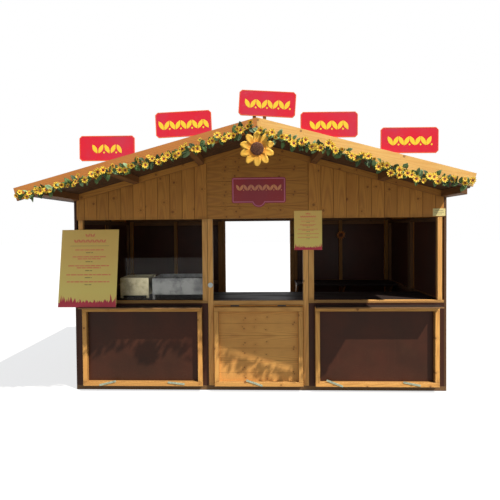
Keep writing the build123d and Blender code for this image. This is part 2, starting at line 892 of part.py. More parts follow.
def wall_flower():
    """Small flower ornament on the middle stud of the rear wall's right side."""
    x = front_stud_places()[1] + STUD / 2
    star = petal_star(WALL_FLOWER_RADIUS, WALL_FLOWER_DISC, WALL_FLOWER_PETALS, PETAL_THICK)
    return [Pos(x, FRAME_Y, HEADER_HEIGHT - WALL_FLOWER_DROP) * star]


# Cooking units and fittings

def unit_on_legs(x0, x1, y0, y1, height, leg_height):
    """Steel housing with a sunk pan in its top, on four legs on the worktop."""
    low = COUNTER_TOP + leg_height
    top = COUNTER_TOP + height
    body = block(x0, x1, y0, y1, low, top)
    pan_floor = top - PAN_DEPTH
    pan = block(x0 + PAN_RIM, x1 - PAN_RIM, y0 + PAN_RIM, y1 - PAN_RIM, pan_floor, top + PAN_RIM)
    result = body - pan
    for x in (x0, x1 - UNIT_LEG):
        for y in (y0, y1 - UNIT_LEG):
            result += block(x, x + UNIT_LEG, y, y + UNIT_LEG, COUNTER_TOP, low)
    return result


def fryer_span():
    left = -OPENING_OUTER + FRYER_INSET
    return left, left + FRYER_WIDTH


def fryer():
    x0, x1 = fryer_span()
    y0 = SCREEN_BACK + FRYER_SET_BACK
    return [unit_on_legs(x0, x1, y0, y0 + FRYER_DEPTH, FRYER_HEIGHT, FRYER_LEG_HEIGHT)]


def griddle():
    x0 = fryer_span()[1] + UNIT_GAP
    y0 = SCREEN_BACK + GRIDDLE_SET_BACK
    return [unit_on_legs(x0, x0 + GRIDDLE_WIDTH, y0, y0 + GRIDDLE_DEPTH, GRIDDLE_HEIGHT, GRIDDLE_LEG_HEIGHT)]


def glass_screen():
    x1 = -OPENING_INNER - SCREEN_INSET
    y0 = SCREEN_BACK - SCREEN_THICK
    return [block(x1 - SCREEN_WIDTH, x1, y0, SCREEN_BACK, COUNTER_TOP, COUNTER_TOP + SCREEN_HEIGHT)]


def bottle_opener():
    x = -ELEMENT_X + POST / 2
    knob = Rot(90, 0, 0) * Cylinder(OPENER_RADIUS, OPENER_THICK)
    return [Pos(x, FRONT - OPENER_THICK / 2, OPENER_CENTRE) * knob]


def nodes():
    spans = hatch_spans()
    return {
        "floor_bearers": floor_bearers(),
        "floor_deck": floor_deck(),
        "front_lower_walls": front_lower_walls(),
        "front_centre_boards": front_centre_boards(),
        "front_studs": front_studs(),
        "serving_sills": serving_sills(),
        "front_posts": front_posts(),
        "front_gable_left": front_gable_left(),
        "front_gable_centre": front_gable_centre(),
        "front_gable_right": front_gable_right(),
        "header_rails": header_rails(),
        "gable_studs": gable_studs(),
        "rake_blocking": rake_blocking(),
        "hatch_left_frame": hatch_frame(spans["left"]),
        "hatch_centre_frame": hatch_frame(spans["centre"]),
        "hatch_right_frame": hatch_frame(spans["right"]),
        "hatch_side_panels": hatch_side_panels(),
        "hatch_centre_panel": [hatch_panel(spans["centre"])],
        "serving_ledges": serving_ledges(),
        "hatch_hinges": hatch_hinges(),
        "hatch_latches": hatch_latches(),
        "left_wall_boards": side_boards(-1),
        "right_wall_boards": side_boards(1),
        "side_wall_studs": side_wall_studs(),
        "side_wall_rails": side_wall_rails(),
        "rear_wall_left": rear_wall_left(),
        "rear_wall_right": rear_wall_right(),
        "rear_gable_centre": rear_gable_centre(),
        "rear_posts": rear_posts(),
        "worktops": worktops(),
        "back_counter": back_counter(),
        "counter_brackets": counter_brackets(),
        "ridge_purlin": ridge_purlin(),
        "roof_purlins": roof_purlins(),
        "eaves_plates": eaves_plates(),
        "roof_deck_left": roof_deck_left(),
        "roof_deck_right": roof_deck_right(),
        "roof_felt": roof_felt(),
        "ridge_capping": ridge_capping(),
        "front_bargeboard_left": front_bargeboard_left(),
        "front_bargeboard_right": front_bargeboard_right(),
        "rear_bargeboard_left": rear_bargeboard_left(),
        "rear_bargeboard_right": rear_bargeboard_right(),
        "roof_signs": roof_signs(),
        "sign_stays": sign_stays(),
        "name_sign": name_sign(),
        "notice_plate": notice_plate(),
        "poster_large": poster_large(),
        "poster_small": poster_small(),
        "sunflower_petals": sunflower_petals(),
        "sunflower_disc": sunflower_disc(),
        "sunflower_hanger": sunflower_hanger(),
        "garland_left": garland_left(),
        "garland_right": garland_right(),
        "wall_flower": wall_flower(),
        "fryer": fryer(),
        "griddle": griddle(),
        "glass_screen": glass_screen(),
        "bottle_opener": bottle_opener(),
    }


def write_parts():
    os.makedirs("parts", exist_ok=True)
    for name, pieces in nodes().items():
        solids = [solid for piece in pieces for solid in piece.solids()]
        shape = solids[0] if len(solids) == 1 else Compound(children=solids)
        export_step(shape, os.path.join("parts", name + ".step"))


write_parts()
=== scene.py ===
"""Looks of a small timber barbecue hut, built round its fixed frame. All sizes are in metres."""

import math
import random

import bmesh
import bpy
from bpy.props import FloatProperty, FloatVectorProperty, IntProperty, PointerProperty
from mathutils import Matrix, Vector


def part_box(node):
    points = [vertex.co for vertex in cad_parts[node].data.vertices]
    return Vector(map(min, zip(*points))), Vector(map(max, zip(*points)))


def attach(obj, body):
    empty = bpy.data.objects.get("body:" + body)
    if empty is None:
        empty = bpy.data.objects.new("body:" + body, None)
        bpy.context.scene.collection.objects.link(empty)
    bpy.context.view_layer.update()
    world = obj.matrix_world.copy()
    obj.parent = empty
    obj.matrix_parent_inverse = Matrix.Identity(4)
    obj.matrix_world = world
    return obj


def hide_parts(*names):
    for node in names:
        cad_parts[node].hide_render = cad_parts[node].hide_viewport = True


bl_info = {
    "name": "Barbecue Hut",
    "version": (1, 0, 0),
    "blender": (4, 5, 0),
    "location": "View3D > Sidebar > Barbecue Hut",
    "description": "Dresses a timber market hut with boards, felt, signs, flowers and metalwork",
    "category": "Object",
}

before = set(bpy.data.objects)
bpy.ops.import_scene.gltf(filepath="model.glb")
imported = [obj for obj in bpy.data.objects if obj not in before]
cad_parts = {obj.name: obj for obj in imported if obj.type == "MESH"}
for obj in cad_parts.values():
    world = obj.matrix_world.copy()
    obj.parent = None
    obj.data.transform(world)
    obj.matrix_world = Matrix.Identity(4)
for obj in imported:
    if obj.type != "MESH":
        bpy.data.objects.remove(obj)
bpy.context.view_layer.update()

X_AXIS = Vector((1, 0, 0))
Y_AXIS = Vector((0, 1, 0))
Z_AXIS = Vector((0, 0, 1))


def low(node):
    """Lowest corner of a frame piece."""
    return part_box(node)[0]


def high(node):
    """Highest corner of a frame piece."""
    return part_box(node)[1]


# Planes and heights that the frame gives
FRONT_Y = low("front_gable_left").y
REAR_Y = high("rear_gable_centre").y
HEADER_Z = low("front_gable_centre").z
COUNTER_Z = high("worktops").z
BASE_Z = high("floor_bearers").z
WALL_X = high("right_wall_boards").x
INNER_X = low("right_wall_boards").x
CLADDING = high("front_gable_left").y - FRONT_Y
BARGE_Y = low("front_bargeboard_left").y
JOINT_X = low("front_gable_right").x

# Chamfers, from the edge of a print to that of a bearer
PRINT_EDGE = 0.0001
PLATE_EDGE = 0.0008
SHEET_EDGE = 0.001
TIGHT_EDGE = 0.0015
SAWN_EDGE = 0.002
BATTEN_EDGE = 0.0025
PLANED_EDGE = 0.003
BLUNT_EDGE = 0.004

RANDOM_SEED = 11


def linear(code):
    """Scene-linear colour of a web colour code."""
    values = [int(code[i:i + 2], 16) / 255 for i in (1, 3, 5)]
    return tuple(v / 12.92 if v <= 0.04045 else ((v + 0.055) / 1.055) ** 2.4 for v in values)


def extent(values):
    """Smallest and largest of some values."""
    values = list(values)
    return min(values), max(values)


# Node trees

class Wire:
    """Output of a shader node. Arithmetic on it adds nodes to the same tree."""

    def __init__(self, socket):
        self.socket = socket

    def __add__(self, other):
        return calc("ADD", self, other)

    def __sub__(self, other):
        return calc("SUBTRACT", self, other)

    def __rsub__(self, other):
        return calc("SUBTRACT", other, self)

    def __mul__(self, other):
        return calc("MULTIPLY", self, other)

    def __truediv__(self, other):
        return calc("DIVIDE", self, other)

    def __pow__(self, power):
        return calc("POWER", self, power)

    def __abs__(self):
        return calc("ABSOLUTE", self)


def put(socket, value):
    """Links an output to an input, or sets the input to a number or a colour."""
    if isinstance(value, Wire):
        socket.id_data.links.new(value.socket, socket)
        return
    if isinstance(value, str):
        value = linear(value)
    if socket.type == "RGBA" and len(value) == 3:
        value = (*value, 1)
    socket.default_value = value


def add_node(tree, kind, inputs=None, **settings):
    """Adds a node and gives its outputs, by place and by name."""
    made = tree.nodes.new(kind)
    for key, value in settings.items():
        setattr(made, key, value)
    for key, value in (inputs or {}).items():
        put(made.inputs[key], value)
    outputs = {}
    for index, socket in enumerate(made.outputs):
        outputs[index] = outputs[socket.name] = Wire(socket)
    return outputs


def first_wire(*values):
    """Socket of the first output among some values."""
    return next(value for value in values if isinstance(value, Wire)).socket


def calc(operation, *values, **settings):
    """Math node, or a Vector Math node where the first output is a vector or a colour."""
    socket = first_wire(*values)
    kind = "ShaderNodeMath" if socket.type == "VALUE" else "ShaderNodeVectorMath"
    inputs = dict(enumerate(values))
    made = add_node(socket.id_data, kind, inputs, operation=operation, **settings)
    return made[1 if operation == "LENGTH" else 0]


def join(x, y, z=0.0):
    return add_node(first_wire(x, y, z).id_data, "ShaderNodeCombineXYZ", {0: x, 1: y, 2: z})[0]


def split(vector):
    parts = add_node(vector.socket.id_data, "ShaderNodeSeparateXYZ", {0: vector})
    return [parts[index] for index in range(3)]


def ramp(value, start, end, bottom=0.0, top=1.0, curve="SMOOTHSTEP"):
    inputs = {0: value, 1: start, 2: end, 3: bottom, 4: top}
    return add_node(value.socket.id_data, "ShaderNodeMapRange", inputs, interpolation_type=curve)[0]


def mix(factor, first, second, blend="MIX"):
    tree = first_wire(factor, first, second).id_data
    inputs = {0: factor, 6: first, 7: second}
    return add_node(tree, "ShaderNodeMix", inputs, data_type="RGBA", blend_type=blend)[2]


def shade(colour, level):
    """Colour times a level."""
    return mix(1.0, colour, join(level, level, level), "MULTIPLY")


def noise(vector, scale, detail=2.0, roughness=0.5):
    inputs = {"Vector": vector, "Scale": scale, "Detail": detail, "Roughness": roughness}
    return add_node(vector.socket.id_data, "ShaderNodeTexNoise", inputs)["Fac"]


def cells(vector, scale):
    inputs = {"Vector": vector, "Scale": scale}
    return add_node(vector.socket.id_data, "ShaderNodeTexVoronoi", inputs)


def stored(tree, name, output="Vector"):
    """Value that the mesh keeps at each of its points."""
    return add_node(tree, "ShaderNodeAttribute", attribute_name=name)[output]


def in_frame(tree):
    """Coordinates in the frame."""
    return add_node(tree, "ShaderNodeTexCoord")["Object"]


def effect(name, inputs, outputs, build):
    """Outputs of a shader group that materials share, built on first use.

    Inputs are a kind and a value for each label, outputs a kind for each label.
    """
    groups = bpy.data.node_groups
    if name not in groups:
        group = groups.new(name, "ShaderNodeTree")
        kinds = [(label, "INPUT", kind) for label, (kind, value) in inputs.items()]
        kinds += [(label, "OUTPUT", kind) for label, kind in outputs.items()]
        for label, way, kind in kinds:
            group.interface.new_socket(name=label, in_out=way, socket_type="NodeSocket" + kind)
        given = add_node(group, "NodeGroupInput")
        results = build(*(given[label] for label in inputs))
        add_node(group, "NodeGroupOutput", dict(zip(outputs, results)))
    values = {label: value for label, (kind, value) in inputs.items()}
    tree = first_wire(*values.values()).id_data
    placed = add_node(tree, "ShaderNodeGroup", values, node_tree=groups[name])
    return [placed[label] for label in outputs]


def build_grain(place, half, tone, sapwood, latewood, knot, knots, density, joint):
    """Growth rings, fibres and knots of a board, from its place along the grain and its tone."""
    spot = place + join(tone * 31.7, tone * 7.9)
    u, v = split(spot)[:2]
    along, across, depth = split(place)
    wander = (noise(spot * (1.3, 7.0, 7.0), 1.0) - 0.5) * 0.03

    # Knots are cells of a stretched pattern, measured back in metres
    spread = join(density * 3.4, density * 9.0, 1.0)
    cell = join(u, v) * spread
    inputs = {"Vector": cell, "Scale": 1.0, "Randomness": 0.9}
    pattern = add_node(cell.socket.id_data, "ShaderNodeTexVoronoi", inputs, voronoi_dimensions="2D")
    offset = (cell - pattern["Position"]) / spread
    distance = calc("LENGTH", offset) + noise(spot, 160.0) * 0.004
    chance = split(pattern["Color"])
    kept = calc("LESS_THAN", chance[0], knots)
    radius = (chance[1] * 0.008 + 0.007) / calc("SQRT", density)
    core = kept * ramp(radius - distance, -0.0015, 0.0015)
    rim = kept * ramp(abs(radius - distance), 0.004, 0.0)
    halo = kept * ramp(distance, 0.045, 0.006)

    # Rings lie round a pith behind the board
    aside = across + wander + (calc("FRACT", tone * 7.3) - 0.5) * 0.12
    behind = u * 0.012 + 0.03 + depth
    reach = calc("SQRT", aside ** 2.0 + behind ** 2.0)
    late = (calc("SINE", (halo * 0.011 + reach) * 1500.0) * 0.5 + 0.5) ** 2.2
    fibre = noise(spot * (9.0, 420.0, 420.0), 1.0, 3.0)
    cloud = noise(spot * (1.7, 6.0, 6.0), 1.0, 3.0)

    colour = mix(late * 0.55, sapwood, latewood)
    colour = mix(ramp(cloud, 0.45, 0.75, 0.0, 0.45), colour, latewood)
    level = calc("FRACT", tone * 13.1) * 0.20 + 0.88
    colour = shade(colour, level * (fibre * 0.30 + 0.85))
    colour = mix(halo * 0.35, colour, latewood)
    colour = mix(core * 0.60, colour, knot)
    colour = mix(rim * 0.40, colour, mix(0.5, knot, (0.0, 0.0, 0.0)))

    # Dirt gathers in the joints and moisture at the board's ends
    half_length, half_width = split(half)[:2]
    dirt = ramp(half_width - abs(across), 0.0045, 0.0005) * joint
    damp = ramp(half_length - abs(along), 0.05, 0.0) * ramp(cloud, 0.3, 0.7)
    colour = shade(colour, 1.0 - calc("MAXIMUM", dirt, damp * 0.30))
    height = late * 0.30 + fibre * 0.55 - rim * 0.5
    return colour, late * -0.14 + 0.66, height


def build_weather(colour, place, dirt, amount, splash_height):
    """Splashes and dust near the ground, streaks down the faces and a patchy fade."""
    patch = noise(place, 5.0, 4.0, 0.6)
    speck = noise(place, 90.0, 3.0, 0.6)
    streak = noise(place * (34.0, 34.0, 1.6), 1.0, 3.0)
    edge = (patch - 0.5) * 0.35 + split(place)[2]
    splash = ramp(edge, splash_height, 0.0, curve="LINEAR") * ramp(speck, 0.35, 0.65)
    fade = ramp(patch, 0.48, 0.75) * 0.35
    run = ramp(streak, 0.56, 0.78) * 0.30
    mask = calc("MAXIMUM", calc("MAXIMUM", splash, fade), run)
    mask = calc("MULTIPLY", mask, amount, use_clamp=True)
    return mix(mask, colour, dirt), mask


def weathered(place, colour, dirt, amount, splash_height=0.3):
    """Weathered colour, and where the weather shows."""
    inputs = {
        "Color": ("Color", colour),
        "Place": ("Vector", place),
        "Dirt": ("Color", dirt),
        "Amount": ("Float", amount),
        "Splash Height": ("Float", splash_height),
    }
    return effect("Weather", inputs, {"Color": "Color", "Mask": "Float"}, build_weather)


def build_scratches(place, scale):
    """Fine scratches and rub marks on smooth faces."""
    tree = place.socket.id_data
    inputs = {0: place, "Scale": scale}
    place = add_node(tree, "ShaderNodeVectorMath", inputs, operation="SCALE")[0]
    wobble = add_node(tree, "ShaderNodeTexNoise", {"Vector": place, "Scale": 0.7})["Color"]
    bent = place + wobble * (0.5, 0.5, 0.5)
    level = noise(bent * (1.0, 1.0, 26.0), 1.0)
    upright = noise(bent * (22.0, 22.0, 1.3), 1.0)
    lines = calc("MAXIMUM", ramp(level, 0.66, 0.74), ramp(upright, 0.68, 0.76))
    mask = lines * ramp(noise(place, 0.6), 0.45, 0.62)
    return mask, mask * -1.0


def scratched(place, scale):
    """Where scratches show, and their height."""
    inputs = {"Place": ("Vector", place), "Scale": ("Float", scale)}
    return effect("Scratches", inputs, {"Mask": "Float", "Height": "Float"}, build_scratches)


# Materials

def fresh_tree(owner):
    """Empty node tree of a material or a world."""
    owner.use_nodes = True
    owner.node_tree.nodes.clear()
    return owner.node_tree


def look(paint, *values, name=None, **options):
    """Material made on first use; paint gives the inputs of its shader.

    An input called through is the share of light that passes thin cloth.
    """
    name = "look_" + (name or paint.__name__)
    if name in bpy.data.materials:
        return bpy.data.materials[name]
    material = bpy.data.materials.new(name)
    tree = fresh_tree(material)
    inputs = paint(tree, *values, **options)
    through = inputs.pop("through", 0)
    shader = add_node(tree, "ShaderNodeBsdfPrincipled", inputs)[0]
    if through:
        cloth = add_node(tree, "ShaderNodeBsdfTranslucent", {"Color": inputs["Base Color"]})[0]
        shader = add_node(tree, "ShaderNodeMixShader", {0: through, 1: shader, 2: cloth})[0]
    add_node(tree, "ShaderNodeOutputMaterial", {0: shader})
    return material


def surface(colour, roughness, height, distance, strength=1.0):
    """Shader inputs that change over the surface, with a bump as deep as the distance."""
    inputs = {"Height": height, "Distance": distance, "Strength": strength}
    normal = add_node(height.socket.id_data, "ShaderNodeBump", inputs)[0]
    return {"Base Color": colour, "Roughness": roughness, "Normal": normal}


def sawn(tree, colours, knots=0.5, dirt=0.2, joint=0.45, density=1.0):
    """Pine boards and battens, cut along the grain that each board carries."""
    sapwood, latewood, knot = colours
    inputs = {
        "Place": ("Vector", stored(tree, "place")),
        "Half": ("Vector", stored(tree, "half")),
        "Tone": ("Float", stored(tree, "tone", "Fac")),
        "Sapwood": ("Color", sapwood),
        "Latewood": ("Color", latewood),
        "Knot": ("Color", knot),
        "Knots": ("Float", knots),
        "Density": ("Float", density),
        "Joint": ("Float", joint),
    }
    outputs = {"Color": "Color", "Roughness": "Float", "Height": "Float"}
    colour, rough, height = effect("Pine grain", inputs, outputs, build_grain)
    colour = weathered(in_frame(tree), colour, "#5B4A36", dirt)[0]
    return surface(colour, rough, height, 0.0006) | {"Specular IOR Level": 0.35}


def timber(name):
    """Material of one sort of pine: sapwood, latewood and knot colours, and what differs."""
    settings = bpy.context.scene.hut_timber
    pine = (settings.sapwood, settings.latewood, settings.knot)
    shares = (0.70, 0.68, 0.8)
    shade_darkened = [[share * c for c in colour] for share, colour in zip(shares, pine)]
    paler = ("#EDB060", "#C88644", settings.knot)
    sorts = {
        "pine": (pine, {"knots": settings.knots}),
        # Darker copy of the pine, painted shade of the canopy on the gables; their level boards
        # have close knots and tight joints
        "gable_pine": (shade_darkened, {}),
        "knotty_gable": (shade_darkened, {"joint": 0.22, "density": 1.9}),
        # Frames of the hatches, and the middle hatch's boards
        "hatch_pine": (paler, {}),
        "knotty_pine": (paler, {"knots": 0.42, "joint": 0.22, "density": 2.1}),
        # Planed posts and sills, paler: painted light that the ground throws up on them
        "pale_pine": (("#F9BC6E", "#DA984E", "#7A4A2C"), {"knots": 0.3}),
        # Left front bargeboard, darker as painted shade, and right front bargeboard
        "pine_stained": (("#C68040", "#AF6C32", "#6B3B1E"), {"knots": 0.3, "dirt": 0.1}),
        "pine_fresh": (("#FFCB78", "#F0B05C", "#7A4A30"), {"knots": 0.6, "dirt": 0.1}),
        # Purlins, studs and rails, dark brown as painted shade under the roof and inside the hut
        "roof_pine": (("#7E5530", "#5C3E22", "#2E1C10"), {"knots": 0.4}),
        # Boards under the roof covering, very dark as painted shade on their underside
        "deck_pine": (("#4B311B", "#362212", "#1A1009"), {"knots": 0.3}),
        # Bearers, brackets, floor and sign battens
        "rough_pine": (("#A87B4B", "#7C5630", "#3B2415"), {"knots": 0.4, "dirt": 0.45}),
    }
    colours, differs = sorts[name]
    return look(sawn, colours, name=name, **differs)


def film_faced_panel(tree):
    """Brown film on plywood, smooth and a little scratched."""
    place = in_frame(tree)
    tint = noise(place, 2.2, 3.0)
    mark, groove = scratched(place, 7.0)
    colour = mix(ramp(tint, 0.3, 0.7), "#3A2116", "#4A281C")
    colour = mix(mark * 0.2, colour, "#7A5A44")
    colour, dust = weathered(place, colour, "#6A4C38", 0.2)
    height = noise(place, 700.0, 1.0) * 0.4 + groove
    rough = dust * 0.35 + (tint * 0.18 + 0.34)
    return surface(colour, rough, height, 0.0001) | {"Specular IOR Level": 0.18}


def dark_counter(tree):
    """Dark counter laminate with wipe marks and crumbs of dust."""
    place = in_frame(tree)
    colour = mix(ramp(noise(place, 260.0), 0.45, 0.7), "#2C2422", "#3C322E")
    mark, groove = scratched(place, 12.0)
    smear = noise(place * (2.0, 9.0, 9.0), 1.0, 4.0)
    rough = mark * 0.2 + ramp(smear, 0.35, 0.7, 0.42, 0.60)
    return surface(colour, rough, groove, 0.00008) | {"Specular IOR Level": 0.04}


def roofing_felt(tree, grit):
    """Bitumen felt with pale mineral grains and lichen-grey patches."""
    place = in_frame(tree)
    grains = cells(place, 420.0)
    chance = split(grains["Color"])[0]
    patch = noise(place, 3.0, 5.0, 0.65)
    colour = mix(chance, "#26282A", grit)
    colour = mix(ramp(chance, 0.86, 0.95), colour, "#8C918C")
    colour = mix(ramp(patch, 0.45, 0.75, 0.0, 0.4), colour, "#5F6258")
    return surface(colour, patch * 0.1 + 0.84, 1.0 - grains["Distance"], 0.0012, 0.7)


def painted(tree, colour, fade, roughness=0.38, streaks=0.15, specular=0.3):
    """Printed or painted sheet with a slight fade, dust and fine scratches."""
    place = in_frame(tree)
    cloud = noise(place, 4.0, 3.0)
    mark, groove = scratched(place, 16.0)
    tint = mix(ramp(cloud, 0.35, 0.7), colour, fade)
    tint = mix(mark * 0.12, tint, (0.8, 0.75, 0.7))
    tint, dust = weathered(place, tint, "#7A6A58", streaks, 0.0)
    rough = dust * 0.25 + (cloud * 0.16 + (roughness - 0.08))
    return surface(tint, rough, groove, 0.00006) | {"Specular IOR Level": specular}


def board_print(tree, top, bottom, foot, head):
    """Printed board, darker at the top and palest a fifth of the way up."""
    place = in_frame(tree)
    run = abs(ramp(split(place)[2], foot, head, curve="LINEAR") - 0.2) * 2.2
    cloud = noise(place, 6.0, 3.0)
    mark, groove = scratched(place, 14.0)
    blend = calc("ADD", run, (cloud - 0.5) * 0.35, use_clamp=True)
    colour = mix(mark * 0.2, mix(blend, bottom, top), (0.85, 0.8, 0.65))
    return surface(colour, cloud * 0.2 + 0.35, groove, 0.00005) | {"Specular IOR Level": 0.35}


def galvanised_steel(tree, pale="#BAC4AE", grey="#939E8A"):
    """Zinc-coated steel with its spangle."""
    place = in_frame(tree)
    chance = split(cells(place, 130.0)["Color"])[0]
    dull = noise(place, 22.0, 4.0)
    dark = [0.5 * c for c in linear(grey)]
    colour = mix(ramp(dull, 0.5, 0.75, 0.0, 0.5), mix(chance, grey, pale), dark)
    return surface(colour, chance * 0.16 + 0.42, dull, 0.0003, 0.5) | {"Metallic": 0.6}


def dull_steel():
    """Zinc-coated steel of the hinges and the hanger, darkened as painted shade so that they don't
    show bright.
    """
    return look(galvanised_steel, "#6C655A", "#4A433A", name="dull_steel")


def brushed_sheet(tree, clean, greasy):
    """Brushed stainless sheet with grease marks."""
    place = in_frame(tree)
    brush = noise(place * (6.0, 6.0, 900.0), 1.0)
    smear = noise(place, 9.0, 4.0, 0.6)
    colour = mix(ramp(smear, 0.4, 0.7), clean, greasy)
    rough = brush * 0.14 + ramp(smear, 0.3, 0.7, 0.34, 0.50)
    return surface(colour, rough, brush, 0.00012) | {"Metallic": 1.0}


def cooking_iron(tree):
    """Seasoned black steel of the cooking plates."""
    grease = noise(in_frame(tree), 14.0, 5.0, 0.6)
    colour = mix(ramp(grease, 0.4, 0.7), "#1B1715", "#3A2A1E")
    rough = ramp(grease, 0.35, 0.7, 0.18, 0.5)
    return surface(colour, rough, grease, 0.0004) | {"Metallic": 0.4}


def clear_screen(tree):
    """Clear screen with faint smears."""
    smear = noise(in_frame(tree), 8.0, 4.0, 0.6)
    return {
        "Base Color": (0.93, 0.96, 0.95),
        "Roughness": ramp(smear, 0.5, 0.75, 0.0, 0.04),
        "Metallic": 0.0,
        "Transmission Weight": 1.0,
        "IOR": 1.18,
    }


def petal_cloth(tree, root, tip, reach):
    """Printed petal cloth: warm at the root, with streaks that run to the tip."""
    along, across = split(stored(tree, "place"))[:2]
    tone = stored(tree, "tone", "Fac")
    lines = noise(join(along * 2.0, across * 9.0, tone * 40.0), 1.0, 3.0)
    run = calc("ADD", along, (lines - 0.5) * 0.7, use_clamp=True)
    colour = shade(mix(ramp(run, 0.0, reach), root, tip), tone * 0.12 + 0.92)
    height = noise(in_frame(tree), 900.0, 1.0) * 0.3 + lines
    more = {"Sheen Weight": 0.25, "through": 0.22}
    return surface(colour, lines * 0.2 + 0.55, height, 0.0006) | more


def leaf_cloth(tree):
    """Artificial leaves: paler veins on dark or blue-green cloth."""
    along, across = split(stored(tree, "place"))[:2]
    tone = stored(tree, "tone", "Fac")
    colour = mix(ramp(tone, 0.1, 0.6), "#2A4424", "#54743A")
    colour = mix(ramp(tone, 0.72, 0.9), colour, "#94B484")
    rib = ramp(abs(across), 0.10, 0.0)
    vein = ramp(calc("SINE", (along + abs(across) * -0.45) * 42.0), 0.75, 1.0)
    mark = calc("MAXIMUM", rib, vein * 0.6) * 0.55
    colour = mix(mark, colour, "#9DB07A")
    blotch = noise(in_frame(tree), 60.0, 3.0)
    colour = mix(ramp(blotch, 0.5, 0.8, 0.0, 0.35), colour, "#243C20")
    return surface(colour, blotch * 0.2 + 0.45, mark, 0.0006) | {"through": 0.20}


def seed_head(tree):
    """Brown seed cushion with pale flecks."""
    fleck = cells(in_frame(tree), 210.0)
    chance = split(fleck["Color"])[0]
    colour = mix(ramp(stored(tree, "tone", "Fac"), 0.3, 1.0), "#58301C", "#A46C4A")
    colour = mix(ramp(chance, 0.78, 0.92, 0.0, 0.4), colour, "#8C746C")
    return surface(colour, chance * 0.15 + 0.75, fleck["Distance"], 0.001)


def stem_coating(tree):
    """Green plastic coating of wire stems."""
    tint = noise(in_frame(tree), 40.0, 3.0)
    return surface(mix(tint, "#2C4A26", "#5C7F49"), tint * 0.2 + 0.4, tint, 0.0004)


# Meshes

class Gather:
    """Collects points and faces of many small parts into one mesh."""

    def __init__(self):
        self.points, self.faces, self.slots, self.smooth = [], [], [], []
        self.places, self.halves, self.tones = [], [], []

    def add(self, points, faces, place=None, half=(0, 0, 0), tone=0.5, slot=0, smooth=False):
        start = len(self.points)
        self.points += [tuple(p) for p in points]
        self.faces += [tuple(start + i for i in face) for face in faces]
        self.slots += [slot] * len(faces)
        self.smooth += [smooth] * len(faces)
        self.places += [c for p in (place or points) for c in p]
        self.halves += list(half) * len(points)
        self.tones += [tone] * len(points)

    def piece(self, name, materials, slot, *replaced):
        """Makes the object, which rides on the hut and may stand for frame pieces."""
        mesh = bpy.data.meshes.new(name)
        mesh.from_pydata(self.points, [], self.faces)
        mesh.polygons.foreach_set("material_index", self.slots)
        mesh.polygons.foreach_set("use_smooth", self.smooth)
        for label, values in (("place", self.places), ("half", self.halves)):
            made = mesh.attributes.new(label, "FLOAT_VECTOR", "POINT")
            made.data.foreach_set("vector", values)
        mesh.attributes.new("tone", "FLOAT", "POINT").data.foreach_set("value", self.tones)
        for material in materials:
            mesh.materials.append(material)
        mesh.validate()
        made = bpy.data.objects.new(name, mesh)
        bpy.context.scene.collection.objects.link(made)
        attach(made, "root")
        if replaced:
            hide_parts(*replaced)


def cut(outline, point, normal):
    """Convex outline with the part beyond a plane taken off."""
    result = []
    for index, here in enumerate(outline):
        there = outline[(index + 1) % len(outline)]
        a = (here - point).dot(normal)
        b = (there - point).dot(normal)
        if a <= 0:
            result.append(here)
        if (a < 0 < b) or (b < 0 < a):
            result.append(here.lerp(there, a / (a - b)))
    return result


def signed_area(flat):
    total = 0.0
    for index, here in enumerate(flat):
        there = flat[(index + 1) % len(flat)]
        total += here.x * there.y - there.x * here.y
    return total / 2


def inset(flat, amount):
    """Convex outline, counter-clockwise, moved inwards."""
    lines = []
    for index, here in enumerate(flat):
        direction = (flat[(index + 1) % len(flat)] - here).normalized()
        lines.append((here + Vector((-direction.y, direction.x)) * amount, direction))
    moved = []
    for index, (q, e) in enumerate(lines):
        p, d = lines[index - 1]
        cross = d.x * e.y - d.y * e.x
        t = ((q.x - p.x) * e.y - (q.y - p.y) * e.x) / cross
        moved.append(p + d * t)
    return moved


def plank(gather, outline, along, outward, thickness, edge=BATTEN_EDGE, slot=0, tone=None, hand=1):
    """Board whose face is a convex outline, with chamfered edges and its grain along one way."""
    u_axis = along.normalized()
    w_axis = outward.normalized()
    v_axis = w_axis.cross(u_axis)
    centre = sum(outline, Vector()) / len(outline)
    flat = [Vector(((p - centre).dot(u_axis), (p - centre).dot(v_axis))) for p in outline]
    if signed_area(flat) < 0:
        flat.reverse()
    (u0, u1), (v0, v1) = extent(p.x for p in flat), extent(p.y for p in flat)
    half = ((u1 - u0) / 2, (v1 - v0) / 2, thickness / 2)
    edge = min(edge, half[0] * 0.6, half[1] * 0.6, thickness * 0.4)
    small = inset(flat, edge)
    points, place = [], []
    for ring, w in ((small, -thickness), (flat, edge - thickness), (flat, -edge), (small, 0.0)):
        for p in ring:
            points.append(centre + u_axis * p.x + v_axis * p.y + w_axis * w)
            u, v = p.x - (u1 + u0) / 2, p.y - (v1 + v0) / 2
            place.append((u, hand * v, w + thickness / 2))
    count = len(flat)
    faces = [tuple(range(count - 1, -1, -1)), tuple(range(3 * count, 4 * count))]
    for a in (0, count, 2 * count):
        for i in range(count):
            j = (i + 1) % count
            faces.append((a + i, a + j, a + count + j, a + count + i))
    gather.add(points, faces, place, half, random.random() if tone is None else tone, slot)


def flat_face(x0, x1, y0, y1, z):
    """Level rectangle."""
    return [Vector(p) for p in ((x0, y0, z), (x1, y0, z), (x1, y1, z), (x0, y1, z))]


def front_face(x0, x1, y, z0, z1):
    """Upright rectangle that faces the front or the rear."""
    return [Vector(p) for p in ((x0, y, z0), (x1, y, z0), (x1, y, z1), (x0, y, z1))]


def bar(gather, corner, size, along, edge=BATTEN_EDGE, slot=0):
    """Square-cut batten in a box, its grain along X, Y or Z."""
    x0, y0, z0 = corner
    x1, y1, z1 = (c + s for c, s in zip(corner, size))
    if along == Y_AXIS:
        plank(gather, flat_face(x0, x1, y0, y1, z1), along, Z_AXIS, z1 - z0, edge, slot)
    else:
        plank(gather, front_face(x0, x1, y0, z0, z1), along, -Y_AXIS, y1 - y0, edge, slot)


JOINT_GAP = 0.0006
NARROWEST_BOARD = 0.012
